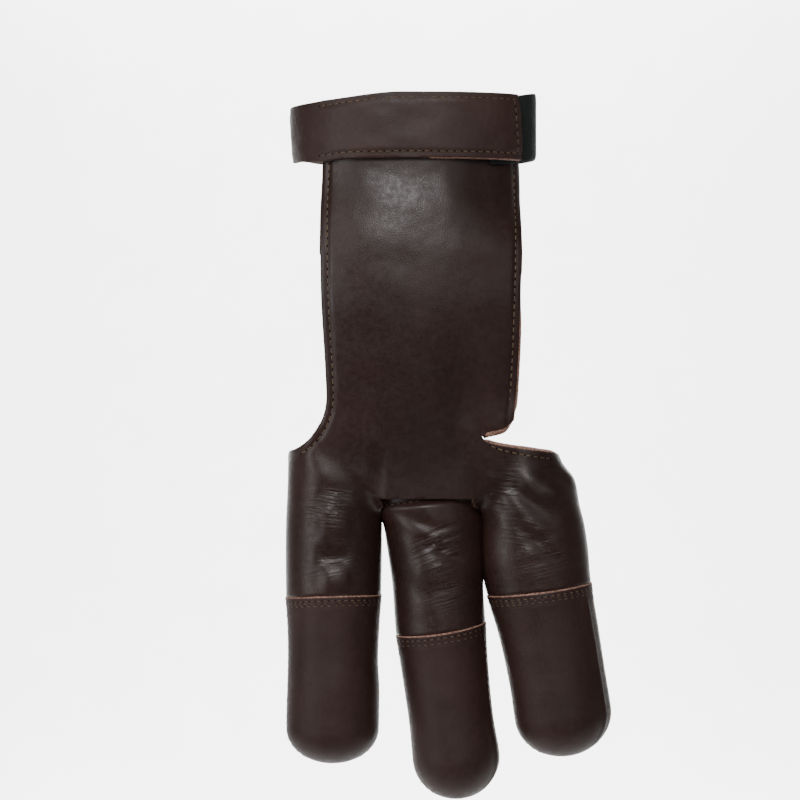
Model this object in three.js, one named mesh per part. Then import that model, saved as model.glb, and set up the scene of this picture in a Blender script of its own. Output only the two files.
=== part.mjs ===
import * as THREE from 'three';

// A three-finger archery glove of dark brown leather, shaped as it is worn.
// Millimetres. The fingers point down, +Z runs up the forearm, the palm side
// faces -Y, and the origin is the centre of the wrist loop.

// Leather and elastic
const PALM_WALL = 1.4;
const CAP_WALL = 1.8;
const STRAP_WALL = 1.8;
const ELASTIC_WALL = 1.2;
const GAP = 0.3;
const FACET_ROOM = 0.15;

// Wrist loop, measured over the strap
const WRIST_WIDTH = 71.6;
const WRIST_DEPTH = 47;
const WRIST_SQUARENESS = 2.3;
const STRAP_HEIGHT = 18.6;
const STRAP_SIDE_HEIGHT = 15.4;
const STRAP_TAPER = 0.55;
const STRAP_SIDE_DROP = 2.7;
const STRAP_SIDE_SAG = 0.7;
const STRAP_DROP_START_X = -4;
const STRAP_DROP_FULL_X = -30;
const STRAP_CENTRE_Z = 0.5;
const STRAP_PAST_PANEL = 0.1;
const STRAP_BACK_X = -12;
const STRAP_END_EASE = 0.4;
const STRAP_EDGE_EASE = 0.25;
const ELASTIC_HEIGHT = 19;
const ELASTIC_LAP = 9;
const ELASTIC_BACK_HEIGHT = 16.6;
const ELASTIC_RISE = 2.4;
const ELASTIC_BACK_DROP = 0.6;
const ELASTIC_SPRING = 0.8;
const ELASTIC_EASE_TURN = 0.3;
const ELASTIC_END_CENTRE_Z = -1;

// Palm panel
const PANEL_TOP_Z = 8;
const PANEL_LENGTH = 114;
const PANEL_WIDTH = 57.4;
const PANEL_CENTRE_X = 1.6;
const PALM_DEPTH = 24;
const PANEL_EDGE_DROP = 3.4;
const WRIST_BLEND = 28;
const ELASTIC_STEP = 7;
const EDGE_CLEAR = 2;

// Thumb notch, a quarter ellipse that runs out at the side of the index stall
const NOTCH_WIDTH = 14.6;
const NOTCH_HEIGHT = 16.5;

// Slot at the little finger side
const SLOT_ABOVE_ROOT = 4.7;
const SLOT_RISE = 2.4;
const SLOT_CORNER = 2.8;
const SLOT_DROP = 5.4;
const SLOT_LIFT = 1.1;

// Stalls, side by side: the two outer ones are open above the crotch of the
// fingers, and all their inner sides start below it
const STALL_RISE = 13;
const WEB_DROP = 7;
const LAP_SHOULDER = 2.2;
const MIDDLE_LAP = 7;
const STALL_SETBACK = 4;
const STALL_CURL = 3;
const STALL_DEPTH = 24;
const STALL_SPACE = 0.05;
const INDEX_AXIS_X = -23.2;
const INDEX_WIDTH = 27;
const MIDDLE_WIDTH = 26;
const RING_WIDTH = 29;
const MIDDLE_LEAN = 0.103;
const RING_SPLAY = 0.0726;
const WEB_INSET = 1.3;
const ROUNDING_RUN = 38;
const LEAN_RUN = 12;
const BACK_BELOW = 0.8;
const MIDDLE_BACK_ARCH = 10;
const CAP_LAP = 5.5;
const CAP_SHOULDER = 1.5;
const CAP_SEAT = 0.35;

const CROTCH_Z = PANEL_TOP_Z - PANEL_LENGTH;
const ROOT_Z = CROTCH_Z + STALL_RISE;
const WEB_Z = CROTCH_Z - WEB_DROP;
const NOTCH_TOP_Z = ROOT_Z + NOTCH_HEIGHT;
const SLOT_Z = ROOT_Z + SLOT_ABOVE_ROOT;
const STRAP_END_X = PANEL_CENTRE_X + PANEL_WIDTH / 2 + STRAP_PAST_PANEL;
const STRAP_FOOT_Z = STRAP_CENTRE_Z - STRAP_HEIGHT / 2;
const TUCK = PALM_WALL + GAP;
const CAP_TUCK = CAP_WALL + GAP + FACET_ROOM;
const FULL_TURN = 2 * Math.PI;
const MIDDLE_LAP_TURN = 0.15 * FULL_TURN;

// Each stall's sections are shares of its length, half width and half depth
const INDEX = {
  name: 'index',
  rootZ: ROOT_Z,
  length: 89.8,
  axisX: INDEX_AXIS_X,
  lean: 0,
  halfWidth: INDEX_WIDTH / 2,
  halfDepth: STALL_DEPTH / 2,
  capTop: 0.4465,
  dome: 0.113,
  sections: [
    { along: 0.0, shift: -0.01, width: 0.995, depth: 1.02 },
    { along: 0.1, shift: -0.008, width: 1.008, depth: 1.02 },
    { along: 0.25, shift: -0.019, width: 1.035, depth: 1.0 },
    { along: 0.4465, shift: -0.026, width: 1.024, depth: 0.97 },
    { along: 0.59, shift: -0.03, width: 0.98, depth: 0.95 },
    { along: 0.67, shift: -0.038, width: 0.968, depth: 0.95 },
    { along: 0.76, shift: -0.03, width: 0.99, depth: 0.96 },
    { along: 0.84, shift: -0.041, width: 0.995, depth: 0.95 },
    { along: 1.0, shift: -0.05, width: 0.985, depth: 0.9 },
  ],
};
const MIDDLE = {
  name: 'middle',
  rootZ: CROTCH_Z + MIDDLE_LAP,
  length: 94,
  axisX: INDEX.axisX + INDEX.halfWidth + STALL_SPACE + MIDDLE_WIDTH / 2,
  lean: MIDDLE_LEAN,
  halfWidth: MIDDLE_WIDTH / 2,
  halfDepth: STALL_DEPTH / 2,
  capTop: 0.471,
  dome: 0.128,
  sections: [
    { along: 0.0, shift: -0.06, width: 1.06, depth: 0.99 },
    { along: 0.09, shift: -0.045, width: 1.06, depth: 1.04 },
    { along: 0.16, shift: -0.01, width: 1.045, depth: 1.05 },
    { along: 0.235, shift: -0.022, width: 1.008, depth: 1.01 },
    { along: 0.335, shift: -0.005, width: 1.0, depth: 0.98 },
    { along: 0.471, shift: -0.035, width: 1.0, depth: 0.96 },
    { along: 0.65, shift: -0.03, width: 0.95, depth: 0.94 },
    { along: 0.77, shift: -0.01, width: 0.935, depth: 0.94 },
    { along: 0.872, shift: 0.01, width: 0.965, depth: 0.95 },
    { along: 1.0, shift: 0.0, width: 0.95, depth: 0.9 },
  ],
};
const RING_ROOT_WIDTH = 0.86;
const RING = {
  name: 'ring',
  rootZ: ROOT_Z,
  length: 87.6,
  axisX: MIDDLE.axisX + MIDDLE.halfWidth + STALL_SPACE + RING_ROOT_WIDTH * RING_WIDTH / 2,
  lean: MIDDLE_LEAN + RING_SPLAY,
  halfWidth: RING_WIDTH / 2,
  halfDepth: STALL_DEPTH / 2,
  capTop: 0.4463,
  dome: 0.137,
  sections: [
    { along: 0.0, shift: -0.045, width: RING_ROOT_WIDTH, depth: 1.0 },
    { along: 0.06, shift: 0.0, width: 0.9, depth: 1.0 },
    { along: 0.115, shift: 0.095, width: 0.98, depth: 1.0 },
    { along: 0.2, shift: 0.09, width: 1.0, depth: 1.02 },
    { along: 0.265, shift: 0.07, width: 1.045, depth: 1.02 },
    { along: 0.345, shift: 0.035, width: 1.07, depth: 1.0 },
    { along: 0.4463, shift: 0.02, width: 1.03, depth: 0.97 },
    { along: 0.6, shift: 0.06, width: 0.975, depth: 0.95 },
    { along: 0.75, shift: 0.065, width: 0.95, depth: 0.95 },
    { along: 0.863, shift: 0.05, width: 0.955, depth: 0.94 },
    { along: 1.0, shift: 0.03, width: 0.93, depth: 0.9 },
  ],
};

// Panel sections: down is a share of its length, left and right of its half
// width, front of the palm's depth
const PANEL_SECTIONS = [
  { down: 0.0, left: 0.975, right: 0.985, front: 0.9 },
  { down: 0.17, left: 0.985, right: 1.005, front: 0.92 },
  { down: 0.25, left: 1.0, right: 1.01, front: 0.95 },
  { down: 0.39, left: 1.0, right: 1.005, front: 0.985 },
  { down: 0.51, left: 0.99, right: 0.99, front: 1.0 },
  { down: 0.63, left: 0.96, right: 0.975, front: 0.94 },
  { down: 0.73, left: 0.94, right: 0.955, front: 0.865 },
  { down: 0.8, left: 0.94, right: 0.93, front: 0.81 },
  { down: 0.9, left: 0.94, right: 0.93, front: 0.735 },
  { down: 1.0, left: 0.94, right: 0.93, front: 0.69 },
];

// Dents and folds of the front: x is a share of the panel's half width from its
// centre, down and reach of its length, spread of its width, depth of the wall,
// turn is the fold's lean from upright in turns
const FRONT_DENTS = [
  { x: 0.42, down: 0.76, reach: 0.16, spread: 0.11, depth: 0.9, turn: 0.01 },
  { x: -0.45, down: 0.97, reach: 0.1, spread: 0.05, depth: 0.7, turn: -0.02 },
  { x: 0.62, down: 1.0, reach: 0.08, spread: 0.05, depth: 0.8, turn: 0.03 },
  { x: 1.05, down: 1.0, reach: 0.09, spread: 0.035, depth: 0.6, turn: 0.14 },
  { x: 1.2, down: 1.12, reach: 0.1, spread: 0.035, depth: 0.55, turn: 0.13 },
];
const MIDDLE_DENTS = [
  { x: 0.0, down: 1.06, reach: 0.07, spread: 0.03, depth: 0.55, turn: 0.19 },
  { x: 0.2, down: 1.13, reach: 0.08, spread: 0.035, depth: 0.6, turn: 0.18 },
];

// How many cells each sheet is divided into; the panel's rows are counted
// under the strap, down to the notch, down to the slot, and in the same way on
const STRAP_ROWS = 2;
const PALM_ROWS = 9;
const NOTCH_ROWS = 4;
const FOOT_ROWS = 2;
const CROTCH_ROWS = 4;
const SLOT_BEND_ROWS = 5;
const SLOT_CELLS = 2;
const LEG_ROWS = 10;
const MIDDLE_ROWS = [0, 0.035, 0.09, 0.16, 0.25, 0.36, 0.5, 0.66, 0.83, 1];
const LEG_CELLS = 8;
const PANEL_CELLS = 6;
const HALF_CELLS = 10;
const BACK_ROWS = 7;
const CAP_ROWS = 6;
const DOME_ROWS = 6;
const STRAP_CELLS = 40;
const STRAP_BANDS = 3;
const ELASTIC_CELLS = 36;
const ELASTIC_BANDS = 2;

function mix(a, b, t) {
  return a + (b - a) * t;
}

function smooth(from, to, value) {
  const t = Math.min(1, Math.max(0, (value - from) / (to - from)));
  return t * t * (3 - 2 * t);
}

// A smooth curve through one column of a table of sections
function sample(table, key, column, at) {
  const last = table.length - 1;
  let k = 0;
  while (k < last - 1 && at > table[k + 1][key]) k += 1;
  const before = table[Math.max(0, k - 1)];
  const from = table[k];
  const to = table[k + 1];
  const after = table[Math.min(last, k + 2)];
  const span = to[key] - from[key];
  const t = Math.min(1, Math.max(0, (at - from[key]) / span));
  const inSlope = (to[column] - before[column]) / (to[key] - before[key]) * span;
  const outSlope = (after[column] - from[column]) / (after[key] - from[key]) * span;
  const t2 = t * t;
  const t3 = t2 * t;
  return (2 * t3 - 3 * t2 + 1) * from[column] + (t3 - 2 * t2 + t) * inSlope
    + (3 * t2 - 2 * t3) * to[column] + (t3 - t2) * outSlope;
}

// Centre and half axes of a stall's section; level is the height on its axis
function stallSection(stall, level) {
  const along = (stall.rootZ - level) / stall.length;
  const drop = stall.rootZ - level;
  const curl = Math.max(0, along);
  return {
    x: stall.axisX + stall.lean * drop + stall.halfWidth * sample(stall.sections, 'along', 'shift', along),
    y: -STALL_SETBACK - STALL_CURL * curl * curl,
    a: stall.halfWidth * sample(stall.sections, 'along', 'width', along),
    b: stall.halfDepth * sample(stall.sections, 'along', 'depth', along),
  };
}

function capTopLevel(stall) {
  return stall.rootZ - stall.length * stall.capTop;
}

// The stall's leather tucks under its cap all round, and the middle stall's
// front goes in under the panel
function legSection(stall, level) {
  const section = stallSection(stall, level);
  const capTop = capTopLevel(stall);
  const capTuck = CAP_TUCK * smooth(capTop + CAP_SHOULDER, capTop + CAP_SEAT * CAP_SHOULDER, level);
  const lap = stall === MIDDLE ? TUCK * smooth(CROTCH_Z - LAP_SHOULDER, CROTCH_Z - GAP, level) : 0;
  return { x: section.x, y: section.y, a: section.a - capTuck, b: section.b - capTuck - lap };
}

// Height on the axis of the leaning section that holds the point x, z
function levelAt(stall, x, z) {
  let level = z;
  for (let k = 0; k < 8; k += 1) level = z - stall.lean * (x - legSection(stall, level).x);
  return level;
}

// Where the stall's side seam passes the height z; side is -1 left, 1 right
function seamX(stall, side, z) {
  let level = z;
  for (let k = 0; k < 8; k += 1) level = z - stall.lean * side * legSection(stall, level).a;
  const section = legSection(stall, level);
  return section.x + side * section.a;
}

function dentY(dents, x, z) {
  let y = 0;
  for (const dent of dents) {
    const dx = x - PANEL_CENTRE_X - dent.x * PANEL_WIDTH / 2;
    const dz = z - PANEL_TOP_Z + dent.down * PANEL_LENGTH;
    const turn = dent.turn * FULL_TURN;
    const across = (dx * Math.cos(turn) + dz * Math.sin(turn)) / (dent.spread * PANEL_WIDTH);
    const along = (dz * Math.cos(turn) - dx * Math.sin(turn)) / (dent.reach * PANEL_LENGTH);
    y += dent.depth * PALM_WALL * Math.exp(-across * across - along * along);
  }
  return y;
}

// The wrist loop at a given inset; the front half as a function of x
function loopFrontY(x, inset) {
  const share = Math.min(1, Math.abs(x) / (WRIST_WIDTH / 2 - inset));
  const rest = Math.pow(1 - Math.pow(share, WRIST_SQUARENESS), 1 / WRIST_SQUARENESS);
  return -(WRIST_DEPTH / 2 - inset) * rest;
}

function loopPoint(angle, inset) {
  const power = 2 / WRIST_SQUARENESS;
  const cos = Math.cos(angle);
  const sin = Math.sin(angle);
  return [
    (WRIST_WIDTH / 2 - inset) * Math.sign(cos) * Math.pow(Math.abs(cos), power),
    (WRIST_DEPTH / 2 - inset) * Math.sign(sin) * Math.pow(Math.abs(sin), power),
  ];
}

// Angle on the loop, counter-clockwise from +X, of a point with the given x
function loopAngle(x, front) {
  const angle = Math.acos(Math.sign(x) * Math.pow(Math.abs(2 * x / WRIST_WIDTH), WRIST_SQUARENESS / 2));
  return front ? 2 * Math.PI - angle : angle;
}

// Outer face of the palm, as its depth at x, z
function palmY(x, z) {
  const down = (PANEL_TOP_Z - z) / PANEL_LENGTH;
  const share = Math.min(1, Math.abs(x - PANEL_CENTRE_X) / (PANEL_WIDTH / 2));
  const flat = -PALM_DEPTH * sample(PANEL_SECTIONS, 'down', 'front', down)
    + PANEL_EDGE_DROP * Math.pow(share, 2.5) + dentY(FRONT_DENTS, x, z);
  const elasticEnd = STRAP_END_X - ELASTIC_LAP;
  const room = (ELASTIC_WALL + GAP) * smooth(elasticEnd - ELASTIC_STEP, elasticEnd - EDGE_CLEAR, x);
  const underStrap = loopFrontY(x, STRAP_WALL + GAP + room);
  return mix(flat, underStrap, smooth(STRAP_FOOT_Z - WRIST_BLEND, STRAP_FOOT_Z - EDGE_CLEAR, z));
}

// The palm face turns into the round front of a stall, first on its outer side
function frontY(x, z, stalls) {
  let y = palmY(x, z);
  for (const stall of stalls) {
    const left = seamX(stall, -1, z);
    const right = seamX(stall, 1, z);
    const outer = stall === RING ? right : left;
    const inner = stall === RING ? left : right;
    const share = Math.min(1.3, (x - outer) / (inner - outer));
    const weight = smooth(mix(NOTCH_TOP_Z, CROTCH_Z, share), mix(ROOT_Z, WEB_Z, share), z);
    const section = legSection(stall, levelAt(stall, x, z));
    const u = Math.min(1, Math.abs(x - section.x) / section.a);
    const round = section.y - GAP / 2 - (section.b - GAP / 2) * Math.sqrt(1 - u * u);
    y = mix(y, round + dentY(FRONT_DENTS, x, z) * Math.sqrt(1 - u * u), weight);
  }
  return y;
}

// Outer and inner point of the leather at x, z
function frontPoint(x, z, stalls, lift = 0) {
  const step = 1e-4;
  const y = frontY(x, z, stalls) - lift;
  const slope = (frontY(x + step, z, stalls) - frontY(x - step, z, stalls)) / (2 * step);
  const length = Math.hypot(1, slope);
  return {
    outer: [x, y, z],
    inner: [x - PALM_WALL * slope / length, y + PALM_WALL / length, z],
  };
}

// Makes one closed body of sheets: each has rows, cells across, and a function
// that gives the outer and inner point. Sheets that share points are joined,
// and every free edge is closed with a rim.
function closedSheet(sheets) {
  const positions = [];
  const known = new Map();
  const triangles = [];
  const freeEdges = new Map();

  function vertex(point) {
    const key = point.map((value) => value.toFixed(3)).join(' ');
    if (!known.has(key)) {
      known.set(key, positions.length / 3);
      positions.push(...point);
    }
    return known.get(key);
  }

  function triangle(a, b, c) {
    if (a !== b && b !== c && c !== a) triangles.push(a, b, c);
  }

  function quad(a, b, c, d) {
    triangle(a, b, c);
    triangle(a, c, d);
  }

  for (const sheet of sheets) {
    const grid = [];
    for (let r = 0; r <= sheet.rows; r += 1) {
      const line = [];
      for (let c = 0; c <= sheet.cells; c += 1) {
        const point = sheet.at(r, c);
        line.push({ outer: vertex(point.outer), inner: vertex(point.inner) });
      }
      grid.push(line);
    }
    for (let r = 0; r < sheet.rows; r += 1) {
      for (let c = 0; c < sheet.cells; c += 1) {
        const corners = [grid[r][c], grid[r + 1][c], grid[r + 1][c + 1], grid[r][c + 1]];
        quad(...corners.map((corner) => corner.outer));
        quad(...corners.map((corner) => corner.inner).reverse());
        corners.forEach((from, k) => {
          const to = corners[(k + 1) % 4];
          if (from.outer === to.outer) return;
          const twin = `${to.outer} ${from.outer}`;
          if (freeEdges.has(twin)) freeEdges.delete(twin);
          else freeEdges.set(`${from.outer} ${to.outer}`, [from, to]);
        });
      }
    }
  }
  for (const [from, to] of freeEdges.values()) {
    quad(to.outer, from.outer, from.inner, to.inner);
  }

  const geometry = new THREE.BufferGeometry();
  geometry.setAttribute('position', new THREE.Float32BufferAttribute(positions, 3));
  geometry.setIndex(triangles);
  geometry.computeVertexNormals();
  return geometry;
}

// Palm panel with the fronts of the index and ring stalls

function notchCentreX() {
  return panelEdgeX(-1, NOTCH_TOP_Z) - NOTCH_WIDTH;
}

function notchX(z) {
  const share = Math.min(1, (NOTCH_TOP_Z - z) / NOTCH_HEIGHT);
  return notchCentreX() + NOTCH_WIDTH * Math.sqrt(1 - share * share);
}

// Height at which the notch runs out at the seam of the index stall
function notchFootZ() {
  const share = (seamX(INDEX, -1, ROOT_Z) - notchCentreX()) / NOTCH_WIDTH;
  return NOTCH_TOP_Z - NOTCH_HEIGHT * Math.sqrt(1 - share * share);
}

function indexSplitX() {
  return seamX(INDEX, 1, CROTCH_Z) - WEB_INSET;
}

function ringSplitX() {
  return seamX(RING, -1, CROTCH_Z) - WEB_INSET;
}

// Heights from the first to the last, with so many rows in each stretch
function divided(heights, counts) {
  const rows = [heights[0]];
  counts.forEach((count, k) => {
    for (let r = 1; r <= count; r += 1) rows.push(mix(heights[k], heights[k + 1], r / count));
  });
  return rows;
}

function panelEdgeX(side, z) {
  const column = side < 0 ? 'left' : 'right';
  const share = sample(PANEL_SECTIONS, 'down', column, (PANEL_TOP_Z - z) / PANEL_LENGTH);
  return PANEL_CENTRE_X + side * share * PANEL_WIDTH / 2;
}

function leftEdgeX(z) {
  const seam = seamX(INDEX, -1, z);
  if (z >= NOTCH_TOP_Z) return panelEdgeX(-1, z);
  return Math.max(seam, notchX(z));
}

// Cells are even on the panel and follow the round of the stall lower down
function spread(cell, cells, z) {
  const share = cell / cells;
  const round = (1 - Math.cos(Math.PI * share)) / 2;
  return mix(share, round, smooth(ROOT_Z + ROUNDING_RUN, ROOT_Z, z));
}

function palmLeather() {
  const both = [INDEX, RING];
  const heights = [PANEL_TOP_Z, STRAP_FOOT_Z, NOTCH_TOP_Z, SLOT_Z, notchFootZ(), CROTCH_Z];
  const rows = divided(heights, [STRAP_ROWS, PALM_ROWS, NOTCH_ROWS, FOOT_ROWS, CROTCH_ROWS]);
  const slotRow = STRAP_ROWS + PALM_ROWS + NOTCH_ROWS;
  const indexSplit = indexSplitX();
  const ringSplit = ringSplitX();

  function indexSide(r, c) {
    const z = rows[r];
    const x = mix(leftEdgeX(z), indexSplit, spread(c, LEG_CELLS, z));
    return frontPoint(x, z, both);
  }

  function middleSide(r, c) {
    return frontPoint(mix(indexSplit, ringSplit, c / PANEL_CELLS), rows[r], both);
  }

  // Rows bend up to the slot's upper edge
  function aboveSlot(r, c) {
    const past = Math.max(0, c - SLOT_CELLS) / (LEG_CELLS - SLOT_CELLS);
    const rise = SLOT_RISE * Math.pow(past, 0.4) + SLOT_CORNER * Math.pow(past, 6);
    const near = smooth(rows[slotRow - SLOT_BEND_ROWS], SLOT_Z, rows[r]);
    const z = rows[r] + rise * near;
    const x = mix(ringSplit, panelEdgeX(1, z), slotSpread(c, near));
    return frontPoint(x, z, both, SLOT_LIFT * past * near);
  }

  // The column where the slot ends keeps one place from both sides
  function slotSpread(c, near) {
    const even = c / LEG_CELLS;
    const width = panelEdgeX(1, SLOT_Z) - ringSplit;
    const end = (slotEndX() - ringSplit) / width;
    const past = (c - SLOT_CELLS) / (LEG_CELLS - SLOT_CELLS);
    const held = past > 0 ? mix(end, 1, past) : end * c / SLOT_CELLS;
    return mix(even, held, near);
  }

  function slotEndX() {
    const right = seamX(RING, 1, SLOT_Z - SLOT_DROP);
    return mix(ringSplit, right, spread(SLOT_CELLS, LEG_CELLS, SLOT_Z));
  }

  // Rows bend down to the slot's lower edge, the open end of the ring stall
  function belowSlot(r, c) {
    const past = Math.max(0, c - SLOT_CELLS) / (LEG_CELLS - SLOT_CELLS);
    const near = 1 - smooth(0, rows.length - 1 - slotRow, r - slotRow);
    const z = rows[r] - SLOT_DROP * Math.pow(past, 0.5) * near;
    const right = seamX(RING, 1, Math.min(z, SLOT_Z - SLOT_DROP));
    const x = mix(ringSplit, right, spread(c, LEG_CELLS, rows[r]));
    const held = mix(ringSplit, slotEndX(), c / SLOT_CELLS);
    return frontPoint(r === slotRow && c <= SLOT_CELLS ? held : x, z, both);
  }

  // The fronts of the two outer stalls, below the crotch
  function leg(stall, r, c) {
    const base = capRow(stall, CROTCH_Z, r, LEG_ROWS);
    const f = spread(c, LEG_CELLS, ROOT_Z);
    const tilt = smooth(CROTCH_Z, CROTCH_Z - LEAN_RUN, base) * stall.lean * legSection(stall, base).a;
    const z = base + tilt * (2 * f - 1);
    const split = stall === RING ? ringSplit : indexSplit;
    const webbed = r === 0 ? 1 : 0;
    const innerLeft = stall === RING && webbed ? split : seamX(stall, -1, base - tilt);
    const innerRight = stall === INDEX && webbed ? split : seamX(stall, 1, base + tilt);
    return frontPoint(mix(innerLeft, innerRight, f), z, r === 0 ? both : [stall]);
  }

  return closedSheet([
    { rows: rows.length - 1, cells: LEG_CELLS, at: indexSide },
    { rows: rows.length - 1, cells: PANEL_CELLS, at: middleSide },
    { rows: slotRow, cells: LEG_CELLS, at: aboveSlot },
    { rows: rows.length - 1 - slotRow, cells: LEG_CELLS, at: (r, c) => belowSlot(r + slotRow, c) },
    { rows: LEG_ROWS, cells: LEG_CELLS, at: (r, c) => leg(INDEX, r, c) },
    { rows: LEG_ROWS, cells: LEG_CELLS, at: (r, c) => leg(RING, r, c) },
  ]);
}

// Level of a row from the given top: the last two rows lie under the cap
function capRow(stall, top, r, rows) {
  const capTop = capTopLevel(stall);
  if (r === rows) return capTop - CAP_LAP;
  if (r === rows - 1) return capTop + CAP_SHOULDER * CAP_SEAT;
  return mix(top, capTop + CAP_SHOULDER, r / (rows - 2));
}

// Half tubes of the stalls

// A point of a half section; side is -1 for the front half, 1 for the back half
function halfPoint(stall, section, level, turn, side, inset) {
  const a = section.a - inset;
  const b = section.b - inset - GAP / 2;
  const x = section.x - side * -1 * a * Math.cos(turn);
  return [x, section.y + side * (GAP / 2 + b * Math.sin(turn)), level + stall.lean * (x - section.x)];
}

// Front halves run left to right, back halves right to left
function halfTurn(c, cells) {
  return Math.PI * c / cells;
}

// The free upper edge of each stall's back
function backTopLevel(stall, turn) {
  const toLeft = (1 - Math.cos(turn)) / 2;
  const slotFoot = SLOT_Z - SLOT_DROP - RING.lean * RING.halfWidth;
  if (stall === INDEX) return mix(WEB_Z, notchFootZ() - BACK_BELOW, toLeft);
  if (stall === RING) return mix(slotFoot - BACK_BELOW, WEB_Z, toLeft);
  return WEB_Z + MIDDLE_BACK_ARCH * Math.sin(turn);
}

function stallBack(stall) {
  function at(r, c) {
    const turn = halfTurn(c, HALF_CELLS);
    const level = capRow(stall, backTopLevel(stall, turn), r, BACK_ROWS);
    const section = legSection(stall, level);
    return {
      outer: halfPoint(stall, section, level, turn, 1, 0),
      inner: halfPoint(stall, section, level, turn, 1, PALM_WALL),
    };
  }

  return closedSheet([{ rows: BACK_ROWS, cells: HALF_CELLS, at }]);
}

// The front of the middle stall, its upper edge tucked under the panel
function middleFront() {
  const capTop = capTopLevel(MIDDLE);
  const shoulder = capTop + CAP_SHOULDER;
  const levels = [
    MIDDLE.rootZ,
    MIDDLE.rootZ - MIDDLE_LAP / 2,
    ...MIDDLE_ROWS.map((share) => mix(CROTCH_Z - GAP, shoulder, share)),
    capTop + CAP_SHOULDER * CAP_SEAT,
    capTop - CAP_LAP,
  ];

  function at(r, c) {
    const level = levels[r];
    const open = MIDDLE_LAP_TURN * smooth(CROTCH_Z - 1, MIDDLE.rootZ, level);
    const turn = mix(open, Math.PI - open, c / HALF_CELLS);
    const section = legSection(MIDDLE, level);
    const outer = halfPoint(MIDDLE, section, level, turn, -1, 0);
    const inner = halfPoint(MIDDLE, section, level, turn, -1, PALM_WALL);
    const dent = dentY(MIDDLE_DENTS, outer[0], outer[2]) * Math.sin(turn);
    outer[1] += dent;
    inner[1] += dent;
    return { outer, inner };
  }

  return closedSheet([{ rows: levels.length - 1, cells: HALF_CELLS, at }]);
}

// One half of a tip cap: a straight sleeve, then a dome
function capHalf(stall, side) {
  const top = capTopLevel(stall);
  const domeTop = stall.rootZ - stall.length * (1 - stall.dome);
  const domeLength = stall.length * stall.dome;

  function at(r, c) {
    const turn = halfTurn(c, HALF_CELLS);
    if (r <= CAP_ROWS) {
      const level = mix(top, domeTop, r / CAP_ROWS);
      const section = stallSection(stall, level);
      return {
        outer: halfPoint(stall, section, level, turn, side, 0),
        inner: halfPoint(stall, section, level, turn, side, CAP_WALL),
      };
    }
    const bend = Math.PI / 2 * (r - CAP_ROWS) / DOME_ROWS;
    const crown = stallSection(stall, domeTop);
    const sag = domeLength * Math.sin(bend);
    const shift = stall.lean * sag;
    const lag = stallSection(stall, domeTop - sag).y - crown.y;
    const shrink = Math.cos(bend);

    function domePoint(inset) {
      const section = {
        x: crown.x + shift,
        y: crown.y + lag,
        a: (crown.a - inset) * shrink,
        b: (crown.b - inset - GAP / 2) * shrink + GAP / 2,
      };
      return halfPoint(stall, section, domeTop - (domeLength - inset) * Math.sin(bend), turn, side, 0);
    }

    return { outer: domePoint(0), inner: domePoint(CAP_WALL) };
  }

  return closedSheet([{ rows: CAP_ROWS + DOME_ROWS, cells: HALF_CELLS, at }]);
}

// Wrist strap and elastic, bands that run round the loop

// Across the back of the wrist the strap is narrower than over the palm, and
// on the thumb side its upper edge comes down
function strapEdges(angle) {
  const front = Math.max(0, -Math.sin(angle));
  const half = mix(STRAP_SIDE_HEIGHT, STRAP_HEIGHT, smooth(0, STRAP_TAPER, front)) / 2;
  const low = smooth(STRAP_DROP_START_X, STRAP_DROP_FULL_X, loopPoint(angle, 0)[0]);
  return [
    STRAP_CENTRE_Z + half - STRAP_SIDE_DROP * low,
    STRAP_CENTRE_Z - half - STRAP_SIDE_SAG * low,
  ];
}

function wristStrap() {
  const from = loopAngle(STRAP_BACK_X, false);
  const to = loopAngle(STRAP_END_X, true);

  function at(r, c) {
    const angle = mix(from, to, c / STRAP_CELLS);
    const ease = c === 0 || c === STRAP_CELLS ? STRAP_END_EASE : 0;
    const [top, foot] = strapEdges(angle);
    const z = mix(top - ease, foot + ease, r / STRAP_BANDS);
    const ledge = r === 0 || r === STRAP_BANDS ? STRAP_EDGE_EASE : 0;
    return {
      outer: [...loopPoint(angle, ledge), z],
      inner: [...loopPoint(angle, STRAP_WALL), z],
    };
  }

  return closedSheet([{ rows: STRAP_BANDS, cells: STRAP_CELLS, at }]);
}

// Both ends of the elastic lie under the strap, and between them it lies free
function elasticBand() {
  const under = STRAP_WALL + GAP;
  const from = loopAngle(STRAP_END_X - ELASTIC_LAP, true) - 2 * Math.PI;
  const to = loopAngle(STRAP_BACK_X - ELASTIC_LAP, false);
  const leaveFront = loopAngle(STRAP_END_X, true) - 2 * Math.PI;
  const meetBack = loopAngle(STRAP_BACK_X, false);

  function at(r, c) {
    const angle = mix(from, to, c / ELASTIC_CELLS);
    const left = smooth(leaveFront, leaveFront + ELASTIC_EASE_TURN, angle);
    const met = smooth(meetBack - ELASTIC_EASE_TURN, meetBack, angle);
    const inset = under * (1 - ELASTIC_SPRING * left * (1 - met));
    const rise = ELASTIC_RISE * smooth(from, 0, angle) * (1 - ELASTIC_BACK_DROP * smooth(0, to, angle));
    const half = mix(ELASTIC_HEIGHT, ELASTIC_BACK_HEIGHT, met) / 2;
    const z = ELASTIC_END_CENTRE_Z + rise + half * (1 - 2 * r / ELASTIC_BANDS);
    return {
      outer: [...loopPoint(angle, inset), z],
      inner: [...loopPoint(angle, inset + ELASTIC_WALL), z],
    };
  }

  return closedSheet([{ rows: ELASTIC_BANDS, cells: ELASTIC_CELLS, at }]);
}

// The assembly

const SOFT_LEATHER = { color: 0x3a2a27, roughness: 0.5, metalness: 0 };
const CAP_LEATHER = { color: 0x3d2b28, roughness: 0.52, metalness: 0 };
const STRAP_LEATHER = { color: 0x44322f, roughness: 0.5, metalness: 0 };
const BLACK_ELASTIC = { color: 0x1b2021, roughness: 0.85, metalness: 0 };

const glove = new THREE.Group();

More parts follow.
